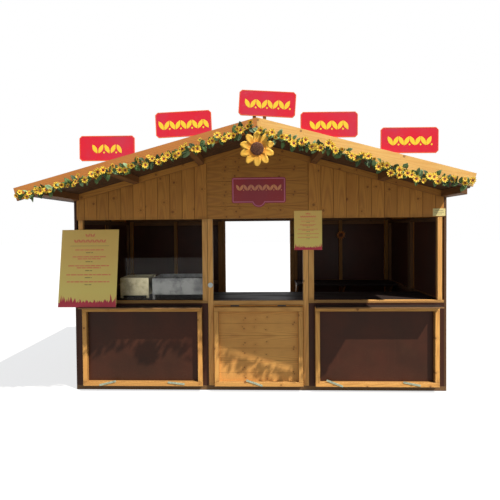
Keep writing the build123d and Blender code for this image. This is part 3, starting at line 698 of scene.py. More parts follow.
# Tones of the two logs that matched boards are cut from, and how far a board's tone may stray
GABLE_LOG = 0.618
HATCH_LOG = 0.271
LOG_SPREAD = 0.0006
WELD_DISTANCE = 1e-5
SAME_PLANE = 1e-4


def boarding(gather, outline, along, outward, width, thickness, start, matched=None):
    """Convex area filled with boards; matched ones come from one log, in mirrored pairs."""
    across = outward.cross(along).normalized()
    near, far = extent((p - start).dot(across) for p in outline)
    for index in range(math.floor(near / width), math.ceil(far / width)):
        strip = cut(outline, start + across * (index * width + JOINT_GAP / 2), -across)
        if len(strip) > 2:
            strip = cut(strip, start + across * ((index + 1) * width - JOINT_GAP / 2), across)
        if len(strip) < 3:
            continue
        left, right = extent((p - start).dot(across) for p in strip)
        if right - left <= NARROWEST_BOARD:
            continue
        if matched is None:
            plank(gather, strip, along, outward, thickness, PLANED_EDGE)
        else:
            tone = matched + random.uniform(0, LOG_SPREAD)
            hand = -1 if index % 2 else 1
            plank(gather, strip, along, outward, thickness, TIGHT_EDGE, tone=tone, hand=hand)


def solids_of(node):
    """The separate solids of a frame piece, welded, as lists of points and faces."""
    mesh = bmesh.new()
    mesh.from_mesh(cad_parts[node].data)
    bmesh.ops.remove_doubles(mesh, verts=mesh.verts, dist=WELD_DISTANCE)
    bmesh.ops.dissolve_limit(mesh, angle_limit=0.01, verts=mesh.verts, edges=mesh.edges)
    left = set(mesh.verts)
    found = []
    while left:
        group = {min(left, key=lambda v: v.index)}
        edge = list(group)
        while edge:
            vert = edge.pop()
            for link in vert.link_edges:
                other = link.other_vert(vert)
                if other not in group:
                    group.add(other)
                    edge.append(other)
        left -= group
        order = sorted(group, key=lambda v: v.index)
        index = {v: i for i, v in enumerate(order)}
        faces = [tuple(index[v] for v in f.verts) for f in mesh.faces if f.verts[0] in group]
        found.append(([v.co.copy() for v in order], faces))
    mesh.free()
    return found


def main_axes(points, faces):
    """Direction of the longest edge, and of the longest edge square to it."""
    edges = [points[f[i]] - points[f[i - 1]] for f in faces for i in range(len(f))]
    edges.sort(key=lambda e: -e.length)
    first = edges[0].normalized()
    second = next(e for e in edges if abs(e.normalized().dot(first)) < 0.3)
    second = (second - first * second.dot(first)).normalized()
    return first, second


def soften(gather, points, faces, edge):
    """One solid with its sharp edges bevelled and its grain along its length."""
    mesh = bmesh.new()
    verts = [mesh.verts.new(p) for p in points]
    for face in faces:
        mesh.faces.new([verts[i] for i in face])
    mesh.normal_update()
    sharp = [e for e in mesh.edges if len(e.link_faces) == 2 and e.calc_face_angle() > 0.5]
    bmesh.ops.bevel(
        mesh, geom=sharp, offset=edge, segments=2, profile=0.6, affect="EDGES", clamp_overlap=True
    )
    mesh.verts.index_update()
    first, second = main_axes(points, faces)
    axes = (first, second, first.cross(second))
    spans = [extent(p.dot(axis) for p in points) for axis in axes]
    half = [(b - a) / 2 for a, b in spans]
    made = [v.co.copy() for v in mesh.verts]
    place = [[p.dot(axis) - (a + b) / 2 for axis, (a, b) in zip(axes, spans)] for p in made]
    shapes = [tuple(v.index for v in f.verts) for f in mesh.faces]
    gather.add(made, shapes, place, half, random.random())
    mesh.free()


def dress(name, material, slot, edge, *nodes):
    """One piece that stands for frame pieces of simple timber or metal, with softened edges."""
    gather = Gather()
    for node in nodes:
        for points, faces in solids_of(node):
            soften(gather, points, faces, edge)
    gather.piece(name, [material], slot, *nodes)


# Framing: piece, sort of pine, slot, chamfer and the frame pieces it stands for

ROUGH = "rough_timber"
FRAMING = (
    ("front_frame", "pale_pine", "pine_sunlit", PLANED_EDGE, "front_posts", "serving_sills"),
    ("rake_battens", "gable_pine", "pine_shaded", PLANED_EDGE, "rake_blocking"),
    ("purlins", "roof_pine", ROUGH, PLANED_EDGE, "ridge_purlin", "roof_purlins", "eaves_plates"),
    ("wall_studs", "roof_pine", ROUGH, SAWN_EDGE, "front_studs", "side_wall_studs", "gable_studs"),
    ("wall_rails", "roof_pine", ROUGH, SAWN_EDGE, "side_wall_rails", "header_rails"),
    ("rear_frame", "gable_pine", "pine_frame", PLANED_EDGE, "rear_posts"),
    ("bearers", "rough_pine", ROUGH, BLUNT_EDGE, "floor_bearers"),
    ("brackets", "rough_pine", ROUGH, SAWN_EDGE, "counter_brackets"),
    ("sign_battens", "rough_pine", ROUGH, SAWN_EDGE, "sign_stays"),
)


# Walls

STILE = 0.058
PANEL_RECESS = 0.007
STRIP_RECESS = 0.008
FLUSH = 0.001


def gable_outline(node, y):
    """Outline of a gable panel's outer face."""
    points = max(solids_of(node), key=lambda solid: max(p.z for p in solid[0]))[0]
    rim = sorted({(round(p.x, 5), round(p.z, 5)) for p in points})
    x, z = (sum(values) / len(rim) for values in zip(*rim))
    rim.sort(key=lambda corner: math.atan2(corner[1] - z, corner[0] - x))
    return [Vector((x, y, z)) for x, z in rim]


def joint_strip(gather, x, top, y, outward):
    """Strip set back in the joint beside a gable's middle element."""
    y0, y1 = sorted((y - outward.y * CLADDING, y - outward.y * STRIP_RECESS))
    left, right = sorted((x, math.copysign(high("front_gable_centre").x, x)))
    bar(gather, (left, y0, HEADER_Z), (right - left, y1 - y0, top - HEADER_Z), Z_AXIS)


def framed_panel(gather, x0, x1, y, outward):
    """Dark panel in a flush pine frame, from the base to the gable boards; seen from inside, its
    darkness also paints the shade in the hut.
    """
    inner = y - outward.y * CLADDING
    y0, y1 = sorted((y, inner))
    depth = y1 - y0
    for x in (x0, x1 - STILE):
        bar(gather, (x, y0, BASE_Z), (STILE, depth, HEADER_Z - BASE_Z), Z_AXIS, slot=2)
    left, width = x0 + STILE, x1 - x0 - 2 * STILE
    for z in (BASE_Z, COUNTER_Z - STILE, HEADER_Z - STILE):
        bar(gather, (left, y0, z), (width, depth, STILE), X_AXIS, slot=2)
    y0, y1 = sorted((y - outward.y * PANEL_RECESS, inner))
    for z0, z1 in ((BASE_Z + STILE, COUNTER_Z - STILE), (COUNTER_Z, HEADER_Z - STILE)):
        bar(gather, (left, y0, z0), (width, y1 - y0, z1 - z0), X_AXIS, slot=1)


def wall_field(gather, sign, spans, along, slot=0, recess=0.0):
    """Batten or panel in the outer face of a side wall, from its extent in Y and Z."""
    (y0, y1), (z0, z1) = spans
    x = sign * (WALL_X - recess)
    face = [Vector(p) for p in ((x, y0, z0), (x, y1, z0), (x, y1, z1), (x, y0, z1))]
    plank(gather, face, along, X_AXIS * sign, WALL_X - INNER_X - recess, slot=slot)


def frame_hole(node):
    """Lowest and highest corner of the opening in a frame piece of one solid."""
    points = solids_of(node)[0][0]
    xs = sorted({round(p.x, 4) for p in points})
    zs = sorted({round(p.z, 4) for p in points})
    return Vector((xs[1], 0, zs[1])), Vector((xs[-2], 0, zs[-2]))


def board_width():
    return bpy.context.scene.hut_timber.board_width


def board_up(name, node, sort, slot, level=None, matched=None):
    """Level boards in place of an upright frame piece, set out from its foot or from a level."""
    gather = Gather()
    lo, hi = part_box(node)
    face = front_face(lo.x, hi.x, lo.y, lo.z, hi.z)
    start = Vector((0, lo.y, lo.z if level is None else level))
    boarding(gather, face, X_AXIS, -Y_AXIS, board_width(), hi.y - lo.y, start, matched)
    gather.piece(name, [timber(sort)], slot, node)


# Roof

FELT_THICKNESS = 0.0035
FELT_LIFT = 0.0012


def roof_slope(node, side):
    """Eave and ridge of a roof layer, its directions, and the eave's one or two stretches in Y."""
    points = [p for solid in solids_of(node) for p in solid[0] if p.x * side >= -0.01]
    ends = []
    for x in reversed(extent(abs(p.x) for p in points)):
        top = max(p.z for p in points if abs(abs(p.x) - x) < SAME_PLANE)
        ends.append(Vector((side * x, 0, top)))
    eave, ridge = ends
    slope = (ridge - eave).normalized()
    up = Vector((slope.z * side, 0, abs(slope.x)))
    y0, y1 = low(node).y, high(node).y
    steps = sorted({round(p.y, 4) for p in points})
    feet = [(eave, y0, y1)]
    if len(steps) > 2:
        short = max(abs(p.x) for p in points if abs(p.y - y0) < SAME_PLANE)
        near = eave + slope * ((abs(eave.x) - short) / abs(slope.x))
        feet = [(near, y0, steps[1]), (eave, steps[1], y1)]
    return eave, ridge, slope, up, feet


def slope_face(foot, top, y0, y1):
    """Rectangle on a slope, between two points and two planes."""
    return [Vector((p.x, y, p.z)) for p, y in ((foot, y0), (top, y0), (top, y1), (foot, y1))]


def lay_felt():
    """Felt in strips that run along the roof, each lapping the one below it."""
    roof = bpy.context.scene.hut_roof
    gather = Gather()
    for side in (-1, 1):
        eave, ridge, slope, up, feet = roof_slope("roof_felt", side)
        length = (ridge - eave).length
        for index in range(math.ceil(length / roof.felt_width)):
            begin = index * roof.felt_width
            end = min(length, begin + roof.felt_width + roof.felt_lap)
            level = FELT_LIFT * (index % 2)
            if index:
                y0, y1 = low("roof_felt").y, high("roof_felt").y
                feet = [(eave + slope * begin + up * level, y0, y1)]
            top = eave + slope * end + up * (level + FELT_LIFT)
            for foot, y0, y1 in feet:
                face = slope_face(foot, top, y0, y1)
                plank(gather, face, Y_AXIS, up, FELT_THICKNESS, SHEET_EDGE)
    felt = look(roofing_felt, roof.grit)
    gather.piece("felt_strips", [felt], "roofing_felt", "roof_felt")
    dress("ridge_strip", felt, "roofing_felt", SHEET_EDGE, "ridge_capping")


# Boards with prints

PRINT_LIFT = 0.0006
PAINTS = {
    "sign_yellow": ("#FFDC3C", "#FFD040"),
    "sign_orange": ("#F8743C", "#F08448"),
    "name_sign_salmon": ("#FFB078", "#F0A080"),
    "name_sign_pink": ("#E080A0", "#D07896"),
    "notice_cream": ("#F4E4A2", "#E6D694"),
    "notice_grey": ("#8C8468", "#9A9078"),
    "list_maroon": ((0.95, 0.25, 0.12), (0.98, 0.32, 0.15)),
    "list_dark": ("#8A6A34", "#967640"),
    "list_red": ("#DC4A58", "#C83E50"),
}
ROW_SHARES = (0.55, 0.90, 0.80, 0.68, 0.76)
# Price lists: share of the width of each entry's one or two rows, then shares of the height
LIST_ROWS = ((0.50, 0), (0.58, 0.40), (0.72, 0.42), (0.77, 0), (0.74, 0))
FIRST_ROW = 0.235
ROW_STEP = 0.026
PRICE_STEP = 0.037
ENTRY_STEP = 0.053
NAME_SIGN_RATIO = 0.477


def paints(*names):
    """Materials of printed colours, each with its fade."""
    return [look(painted, *PAINTS[name], name=name) for name in names]


class Print:
    """Board with softened edges, and raised shapes on its front, in metres from its centre."""

    def __init__(self, gather, solid, edge):
        points, faces = solid
        soften(gather, points, faces, edge)
        self.gather = gather
        u, v = sorted(main_axes(points, faces), key=lambda axis: -abs(axis.x))
        self.u = u if u.x > 0 else -u
        self.v = v if v.z > 0 else -v
        self.outward = self.u.cross(self.v)
        u_span, v_span, depth = (
            extent(p.dot(axis) for p in points) for axis in (self.u, self.v, self.outward)
        )
        middle = self.u * (sum(u_span) / 2) + self.v * (sum(v_span) / 2)
        self.centre = middle + self.outward * depth[1]
        self.width = u_span[1] - u_span[0]
        self.height = v_span[1] - v_span[0]
        front = [f for f in faces if all(self.in_front(points[i]) for i in f)]
        corners = [points[i] - self.centre for i in max(front, key=len)]
        self.outline = [Vector((p.dot(self.u), p.dot(self.v))) for p in corners]
        if signed_area(self.outline) < 0:
            self.outline.reverse()

    def in_front(self, point):
        return abs((point - self.centre).dot(self.outward)) < SAME_PLANE

    def shape(self, flat, slot):
        lifted = self.centre + self.outward * PRINT_LIFT
        points = [lifted + self.u * a + self.v * b for a, b in flat]
        plank(self.gather, points, self.u, self.outward, 2 * PRINT_LIFT, PRINT_EDGE, slot, 0.5)

    def bar(self, a, b, width, height, slot):
        w, h = width / 2, height / 2
        self.shape([(a - w, b - h), (a + w, b - h), (a + w, b + h), (a - w, b + h)], slot)

    def almond(self, a, b, length, width, angle, slot):
        """Pointed leaf shape."""
        steps = (-1, -0.6, -0.2, 0.2, 0.6, 1)
        upper = [(t, 1 - t * t) for t in steps]
        under = [(t, t * t - 1) for t in reversed(steps[1:-1])]
        c, s = math.cos(angle), math.sin(angle)
        flat = []
        for t, w in upper + under:
            x, y = t * length / 2, w * width / 2
            flat.append((a + x * c - y * s, b + x * s + y * c))
        self.shape(flat, slot)

    def line(self, gap, width, slot):
        """Line that runs round inside the board's outline."""
        outer = inset(self.outline, gap)
        inner = inset(self.outline, gap + width)
        for i in range(len(outer)):
            j = (i + 1) % len(outer)
            self.shape([outer[i], outer[j], inner[j], inner[i]], slot)

    def row(self, b, width, height, slot):
        """Row of leaning leaves with a dot between every two."""
        count = max(3, round(width / (0.56 * height)))
        for index in range(count):
            a = (index - (count - 1) / 2) * width / count
            lean = math.radians(62 if index % 2 else 118)
            self.almond(a, b, height, 0.42 * height, lean, slot)
            if index % 2:
                dot = 0.2 * height
                self.almond(a + width / count / 2, b - 0.36 * height, dot, dot, 0.0, slot)

    def dashes(self, b, share, tall, slot):
        """Row of dashes of uneven length, as a share of the board's width."""
        end = share * self.width / 2
        a = -end
        while a < end:
            length = min(random.uniform(0.04, 0.11) * self.width, end - a)
            if length > 0.008 * self.width:
                self.bar(a + length / 2, b * self.height, length, tall * self.height, slot)
            a += length + 0.011 * self.width

    def flames(self, slot):
        """Ragged foot, highest at the right."""
        width, height = self.width, self.height
        foot = 0.055 * height
        self.bar(0, (foot - height) / 2, width - 0.002, foot, slot)
        base = foot - height / 2 - 0.001
        pitch = 0.031 * width
        for index in range(1, int(width / pitch)):
            a = (index + 0.5) * pitch - width / 2
            share = a / width
            rise = (0.040 + 0.31 * (share - 0.06) ** 2) * height * random.uniform(0.45, 1.15)
            if share > 0.40:
                rise *= 1.35
            tip = max(-width / 2, min(width / 2, a + random.uniform(-0.9, 1.3) * pitch))
            waist = a + 0.25 * (tip - a) + 0.30 * pitch
            left, right = (a - 0.6 * pitch, base), (a + 0.6 * pitch, base)
            self.shape([left, right, (waist, base + 0.5 * rise), (tip, base + rise)], slot)


def price_list(name, node):
    """Board with an ornament heading, rows of short dashes and a ragged red foot."""
    gather = Gather()
    board = Print(gather, solids_of(node)[0], SHEET_EDGE)
    width, height = board.width, board.height
    board.row(0.425 * height, 0.17 * width, 0.052 * height, 1)
    board.row(0.350 * height, 0.56 * width, 0.052 * height, 1)
    board.bar(0, 0.287 * height, 0.68 * width, 0.003 * height, 2)
    b = FIRST_ROW
    for share, second in LIST_ROWS:
        board.dashes(b, share, 0.013, 1)
        if second:
            b -= ROW_STEP
            board.dashes(b, second, 0.013, 1)
        b -= PRICE_STEP
        board.dashes(b, 0.12, 0.008, 2)
        b -= ENTRY_STEP
    board.flames(3)
    signs = bpy.context.scene.hut_signs
    heights = (low(node).z, high(node).z)
    ground = look(board_print, signs.list_top, signs.list_ground, *heights, name=name + "_ground")
    prints = paints("list_maroon", "list_dark", "list_red")
    gather.piece(name, [ground, *prints], "cream_board", node)


# Flowers and leaves

CLOTH = 0.0008
PETAL_WIDTH = 0.066
SEED_SIZE = 0.0048
# Slope of the roof, and how deep the front bargeboards hang at the ridge
SLOPE = math.tan(math.radians(15.2))
BARGE_DROP = 0.124
STEM_RADIUS = 0.0028
STALK_RADIUS = 0.0022
STEM_STEP = 0.012
STEM_TWIST = 0.004
# A garland's clearance from the ridge, the board's end and its face, and that of its near leaves
RIDGE_CLEARANCE = 0.012
END_CLEARANCE = 0.050
FACE_CLEARANCE = 0.012
LEAF_CLEARANCE = 0.005
LEAF_LENGTHS = (0.046, 0.078)
LEAF_WIDTH_SHARE = 0.62
# Share of heads that are wide open, their radii and those of the others
OPEN_SHARE = 0.68
OPEN_RADII = (0.032, 0.039)
CLOSED_RADII = (0.021, 0.029)


def pointed(t):
    """Width of a leaf or a small petal at a share of its length."""
    return math.sin(math.pi * min(0.97, 0.12 + 0.88 * t)) ** 0.75


def rounded(t):
    """Width of a large petal: a narrow root, widest at the middle, with a round tip."""
    if t < 0.48:
        return 0.62 + 0.38 * math.sin(math.pi / 2 * t / 0.48)
    return max(0.05, 1 - ((t - 0.48) / 0.525) ** 2.2) ** 0.6


def turned(u, v, angle):
    """Direction at an angle from u towards v."""
    return u * math.cos(angle) + v * math.sin(angle)


def blade(gather, root, along, facing, length, width, cup, bend, slot=0, steps=6, form=pointed):
    """Petal or leaf of cloth: creased along its middle and bent."""
    along = along.normalized()
    facing = (facing - along * facing.dot(along)).normalized()
    side = facing.cross(along)
    across = (-1, -0.5, 0, 0.5, 1)
    top, place = [], []
    for i in range(steps + 1):
        t = i / steps
        half = width / 2 * form(t)
        centre = root + along * (length * t) + facing * (bend * length * (t - t * t * 1.8))
        for j in across:
            ripple = 0.03 * width * math.sin(9 * t + 4 * j)
            top.append(centre + side * (j * half) + facing * (cup * half * (abs(j) - 0.5) + ripple))
            place.append((t, j, 0))
    count, columns = len(top), len(across)
    under = [p - facing * CLOTH for p in top]
    faces = []
    for i in range(steps):
        for a in range(i * columns, (i + 1) * columns - 1):
            b = a + columns
            faces.append((a, a + 1, b + 1, b))
            faces.append((count + a, count + b, count + b + 1, count + a + 1))
    last = steps * columns
    rim = list(range(columns)) + list(range(2 * columns - 1, last + columns, columns))
    rim += list(range(last + columns - 2, last - 1, -1)) + list(range(last - columns, 0, -columns))
    for a, b in zip(rim, rim[1:] + rim[:1]):
        faces.append((b, a, count + a, count + b))
    gather.add(top + under, faces, place + place, tone=random.random(), slot=slot, smooth=True)


def dome(gather, centre, facing, radius, rise, slot, rings=4, sides=14):
    """Low cushion with a flat back."""
    u = facing.orthogonal().normalized()
    v = facing.cross(u)
    points = [centre]
    for ring in range(rings + 1):
        angle = math.pi / 2 * ring / rings
        for k in range(sides):
            out = turned(u, v, 2 * math.pi * k / sides) * radius * math.cos(angle * 0.98)
            points.append(centre + out + facing * (rise * math.sin(angle)))
    faces = [(0, 1 + (k + 1) % sides, 1 + k) for k in range(sides)]
    for start in range(1, 1 + rings * sides, sides):
        for k in range(sides):
            a, b = start + k, start + (k + 1) % sides
            faces.append((a, b, b + sides, a + sides))
    faces.append(tuple(1 + rings * sides + k for k in range(sides)))
    gather.add(points, faces, tone=0.25, slot=slot, smooth=True)


def seeds(gather, centre, facing, radius, rise, count):
    """Seeds in a spiral on a cushion."""
    u = facing.orthogonal().normalized()
    v = facing.cross(u)
    golden = math.pi * (3 - math.sqrt(5))
    faces = [tuple(range(4, -1, -1))]
    for k in range(5):
        n = (k + 1) % 5
        faces += [(k, n, n + 5, k + 5), (k + 5, n + 5, 10)]
    for index in range(count):
        share = (index + 0.5) / count
        turn = golden * index
        foot = centre + turned(u, v, turn) * (radius * math.sqrt(share))
        foot += facing * (rise * math.sqrt(max(0.0, 1 - share * 0.97)) - 0.3 * SEED_SIZE)
        points = []
        for level, spread in ((0.0, 0.55), (0.6, 0.42)):
            for k in range(5):
                out = turned(u, v, 2 * math.pi * k / 5 + turn) * spread + facing * level
                points.append(foot + out * SEED_SIZE)
        points.append(foot + facing * SEED_SIZE)
        gather.add(points, faces, tone=random.random())


def blossom(gather, centre, facing, radius, hub, petals, curl, slots, twist=0.0):
    """Sunflower head: a ring of petals round a cushion."""
    u = (X_AXIS - facing * facing.dot(X_AXIS)).normalized()
    v = facing.cross(u)
    for index in range(petals):
        along = turned(u, v, twist + 2 * math.pi * index / petals)
        width = 2 * math.pi * radius / petals * random.uniform(0.62, 0.84)
        reach = (radius - 0.8 * hub) * random.uniform(0.82, 1.08)
        root = centre + along * hub * 0.8 + facing * (0.0012 * (index % 2))
        tilt = along + facing * random.uniform(-0.04, curl)
        blade(gather, root, tilt, facing, reach, width, -0.35, -0.18, slots[0])
    dome(gather, centre - facing * 0.002, facing, hub, hub * 0.45, slots[1])


def tube(gather, route, radius, slot, sides=6):
    """Round wire along a route."""
    points = []
    for index, here in enumerate(route):
        ahead = route[min(index + 1, len(route) - 1)] - route[max(index - 1, 0)]
        u = ahead.cross(Y_AXIS).normalized()
        v = ahead.cross(u).normalized()
        points += [here + turned(u, v, 2 * math.pi * k / sides) * radius for k in range(sides)]
    last = (len(route) - 1) * sides
    faces = [tuple(range(sides)), tuple(last + k for k in range(sides - 1, -1, -1))]
    for start in range(0, last, sides):
        for k in range(sides):
            a, b = start + k, start + (k + 1) % sides
            faces.append((a, a + sides, b + sides, b))
    gather.add(points, faces, slot=slot, smooth=True)


def garland_shift(side, x):
    """How far the middle of a garland lies above the bargeboard's lower edge."""
    ridge = 0.045 * math.exp(-x / 0.12)
    if side < 0:
        return 0.014 + ridge + 0.008 * math.sin(5.2 * x) + 0.035 * math.exp((x - 2.15) / 0.20)
    return ridge - 0.018 - 0.022 * math.sin(5.0 * x - 4.9) + 0.030 * math.exp((x - 2.0) / 0.15)


class Garland:
    """One garland along a front bargeboard: slots 0 leaves, 1 petals, 2 stems, 3 seeds."""

    def __init__(self, hand, side):
        lo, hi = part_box(f"front_bargeboard_{hand}")
        self.side = side
        self.inner = RIDGE_CLEARANCE
        self.outer = max(abs(lo.x), abs(hi.x)) - END_CLEARANCE
        self.under = hi.z - BARGE_DROP
        self.run = Vector((side, 0, -SLOPE)).normalized()
        self.rise = Vector((side * SLOPE, 0, 1)).normalized()
        self.gather = Gather()

    def middle(self, x):
        edge = Vector((self.side * x, BARGE_Y - FACE_CLEARANCE, self.under - SLOPE * x))
        return edge + self.rise * garland_shift(self.side, x)

    def stems(self):
        """Two wires twisted round each other."""
        span = self.outer - self.inner
        count = int(span / STEM_STEP)
        for strand in range(2):
            route = []
            for index in range(count + 1):
                x = self.inner + span * index / count
                angle = 60 * x + math.pi * strand
                sway = 0.010 * math.sin(7 * x + strand) + 0.006 * math.sin(23 * x)
                shift = self.rise * (sway + STEM_TWIST * math.cos(angle))
                route.append(self.middle(x) + shift - Y_AXIS * STEM_TWIST * math.sin(angle))
            tube(self.gather, route, STEM_RADIUS, 2)

    def leaves(self, spacing):
        """Leaves on both sides of the stems, every second one close to the board."""
        for index in range(int((self.outer - self.inner) / spacing)):
            x = self.inner + (index + random.random()) * spacing
            turn = math.radians(random.uniform(20, 160)) * (1 if index % 2 else -1)
            near = index % 2 == 0
            swing = math.cos(turn) if x < self.outer - 0.05 else -abs(math.cos(turn))
            along = self.run * swing + self.rise * math.sin(turn)
            along -= Y_AXIS * random.uniform(0.2, 1.8) * (0.12 if near else 1.0)
            facing = Vector((random.uniform(-0.5, 0.5), -1, random.uniform(-0.3, 0.9)))
            length = random.uniform(*LEAF_LENGTHS)
            spread = max(0.016, 0.006 - garland_shift(self.side, x))
            root = self.middle(x) + self.rise * random.uniform(-0.020, spread)
            root -= Y_AXIS * random.uniform(0.0, 0.012)
            if near:
                root.y = BARGE_Y - LEAF_CLEARANCE
            bend = random.uniform(-0.1, 0.35)
            blade(self.gather, root, along, facing, length, length * LEAF_WIDTH_SHARE, 0.30, bend)

    def heads(self, spacing):
        """Sunflower heads on short stalks, two thirds of them wide open."""
        span = self.outer - self.inner
        count = int(span / spacing)
        for index in range(count):
            x = self.inner + (index + random.uniform(0.15, 0.85)) * span / count
            middle = self.middle(x)
            centre = middle + self.rise * random.uniform(-0.034 if x > 0.16 else 0.0, 0.034)
            centre -= Y_AXIS * random.uniform(0.015, 0.066)
            route = [middle, centre.lerp(middle, 0.5) - Z_AXIS * 0.004, centre]
            tube(self.gather, route, STALK_RADIUS, 2)
            wide = random.random() < OPEN_SHARE
            lean = 0.32 if wide else 1.0
            tilt = random.uniform(-lean, lean), -1, random.uniform(-lean * 0.8, lean * 0.8)
            radius = random.uniform(*(OPEN_RADII if wide else CLOSED_RADII))
            petals = random.choice((9, 10, 11))
            curl = 0.22 if wide else 0.7
            facing, hub, twist = Vector(tilt).normalized(), radius * 0.33, random.random()
            blossom(self.gather, centre, facing, radius, hub, petals, curl, (1, 3), twist)


# Settings

class HutTimber(bpy.types.PropertyGroup):
    """Sizes and colours of the boards."""

    board_width: FloatProperty(
        name="Board Width", description="Cover width of a wall board",
        default=0.134, min=0.05, unit="LENGTH",
    )
    deck_board_width: FloatProperty(
        name="Roof Board Width", description="Cover width of a roof board",
        default=0.121, min=0.05, unit="LENGTH",
    )
    sapwood: FloatVectorProperty(
        name="Sapwood", description="Pale colour of the pine",
        default=linear("#F2A950"), subtype="COLOR",
    )
    latewood: FloatVectorProperty(
        name="Latewood", description="Dark colour of the growth rings",
        default=linear("#CC8036"), subtype="COLOR",
    )
    knot: FloatVectorProperty(
        name="Knot", description="Colour of the knots",
        default=linear("#7A4522"), subtype="COLOR",
    )
    knots: FloatProperty(
        name="Knots", description="Share of possible knots that a board has",
        default=0.45, min=0, max=1, subtype="FACTOR",
    )


class HutRoof(bpy.types.PropertyGroup):
    """Sizes and colour of the roof covering."""

    felt_width: FloatProperty(
        name="Felt Width", description="Cover width of a felt strip",
        default=0.92, min=0.3, unit="LENGTH",
    )
    felt_lap: FloatProperty(
        name="Felt Lap", description="How far a felt strip lies under the next",
        default=0.08, min=0.0, unit="LENGTH",
    )
    grit: FloatVectorProperty(
        name="Grit", description="Colour of the felt's mineral grains",
        default=linear("#4C5050"), subtype="COLOR",
    )


class HutSigns(bpy.types.PropertyGroup):
    """Colours and prints of the boards."""

    ornament: FloatProperty(
        name="Ornament", description="Height of the ornament row against the board",
        default=0.40, min=0.1, max=0.8, subtype="FACTOR",
    )
    sign: FloatVectorProperty(
        name="Roof Signs", description="Ground colour of the signs on the roof",
        default=(0.78, 0.022, 0.046), subtype="COLOR",
    )
    # Darker than the roof signs' red: painted shade under the canopy
    name_sign: FloatVectorProperty(
        name="Name Sign", description="Ground colour of the sign over the middle",
        default=(0.42, 0.040, 0.050), subtype="COLOR",
    )
    list_top: FloatVectorProperty(
        name="List Top", description="Colour at the top of the printed boards",
        default=(1.0, 0.67, 0.19), subtype="COLOR",
    )
    list_ground: FloatVectorProperty(
        name="List Ground", description="Palest colour of the printed boards",
        default=(1.0, 0.79, 0.22), subtype="COLOR",
    )


class HutFlowers(bpy.types.PropertyGroup):
    """Sunflowers and garlands."""

    petals: IntProperty(
        name="Petals", description="Petals of the large sunflower", default=10, min=5, max=24
    )
    petal_tip: FloatVectorProperty(
        name="Petal Tip", description="Colour at the tips of the garlands' petals",
        default=linear("#FFE048"), subtype="COLOR",
    )
    head_spacing: FloatProperty(
        name="Head Spacing", description="Distance between flower heads",
        default=0.043, min=0.03, unit="LENGTH",
    )
    leaf_spacing: FloatProperty(
        name="Leaf Spacing", description="Distance between leaves",
        default=0.019, min=0.005, unit="LENGTH",
    )


class HutStage(bpy.types.PropertyGroup):
    """Light on the hut."""

    sun: FloatProperty(name="Sun", description="Strength of the key lamp", default=6.0, min=0)
    sun_size: FloatProperty(
        name="Sun Size", description="Angle of the key lamp",
        default=math.radians(0.6), subtype="ANGLE",
    )
    fill: FloatProperty(
        name="Fill", description="Strength of the light from all round", default=0.36, min=0
    )


# Stage and camera

CAMERA_PLACE = Vector((-0.003, -5.343, 1.762))
CAMERA_YAW = math.radians(-1.955)
CAMERA_PITCH = math.radians(-1.138)
CAMERA_ROLL = math.radians(-0.493)
CAMERA_LENS = 29.74
CAMERA_SENSOR = 36
CAMERA_SHIFT = (0.01344, -0.0284)
SUN_DIRECTION = Vector((-0.485, 0.326, -0.81))
SUN_COLOUR = (1.0, 0.95, 0.86)
BACK_DIRECTION = Vector((0.5, -0.75, -0.5))
BACK_ANGLE = math.radians(50)
BACK_STRENGTH = 1.0
FILL_COLOUR = (0.86, 0.95, 1.08)
WHITE = (1.0, 1.0, 1.0)
FLOOR_REACH = 40


def seen_directly(tree):
    """1 for rays that show the stage itself, straight or through metal and glass."""
    path = add_node(tree, "ShaderNodeLightPath")
    glossy = calc("MAXIMUM", path["Is Camera Ray"], path["Is Glossy Ray"])
    return calc("MAXIMUM", glossy, path["Is Transmission Ray"])


def add_object(name, data):
    made = bpy.data.objects.new(name, data)
    bpy.context.scene.collection.objects.link(made)
    return made


def add_camera():
    """Camera at the photograph's place, with its yaw, pitch and roll."""
    yaw, pitch = CAMERA_YAW, CAMERA_PITCH
    ahead = Vector((math.sin(yaw), math.cos(yaw), 0)) * math.cos(pitch)
    forward = ahead + Z_AXIS * math.sin(pitch)
    right = Vector((math.cos(yaw), -math.sin(yaw), 0))
    up = right.cross(forward)
    axes = (turned(right, up, CAMERA_ROLL), turned(up, -right, CAMERA_ROLL), -forward)
    data = bpy.data.cameras.new("camera")
    data.sensor_width = CAMERA_SENSOR
    data.lens = CAMERA_LENS
    data.shift_x, data.shift_y = CAMERA_SHIFT
    made = add_object("camera", data)
    made.matrix_world = Matrix.Translation(CAMERA_PLACE) @ Matrix(axes).transposed().to_4x4()
    bpy.context.scene.camera = made


def add_sun(name, direction, energy, angle, colour):
    lamp = bpy.data.lights.new(name, "SUN")
    lamp.energy = energy
    lamp.angle = angle
    lamp.color = colour
    add_object(name, lamp).rotation_euler = direction.to_track_quat("-Z", "Y").to_euler()


def add_world(strength):
    """Plain light from all round, white where it is seen."""
    world = bpy.data.worlds.new("studio")
    bpy.context.scene.world = world
    tree = fresh_tree(world)
    fill = add_node(tree, "ShaderNodeBackground", {"Color": FILL_COLOUR, "Strength": strength})[0]
    white = add_node(tree, "ShaderNodeBackground", {"Color": WHITE, "Strength": 1.0})[0]
    both = add_node(tree, "ShaderNodeMixShader", {0: seen_directly(tree), 1: fill, 2: white})[0]
    add_node(tree, "ShaderNodeOutputWorld", {0: both})


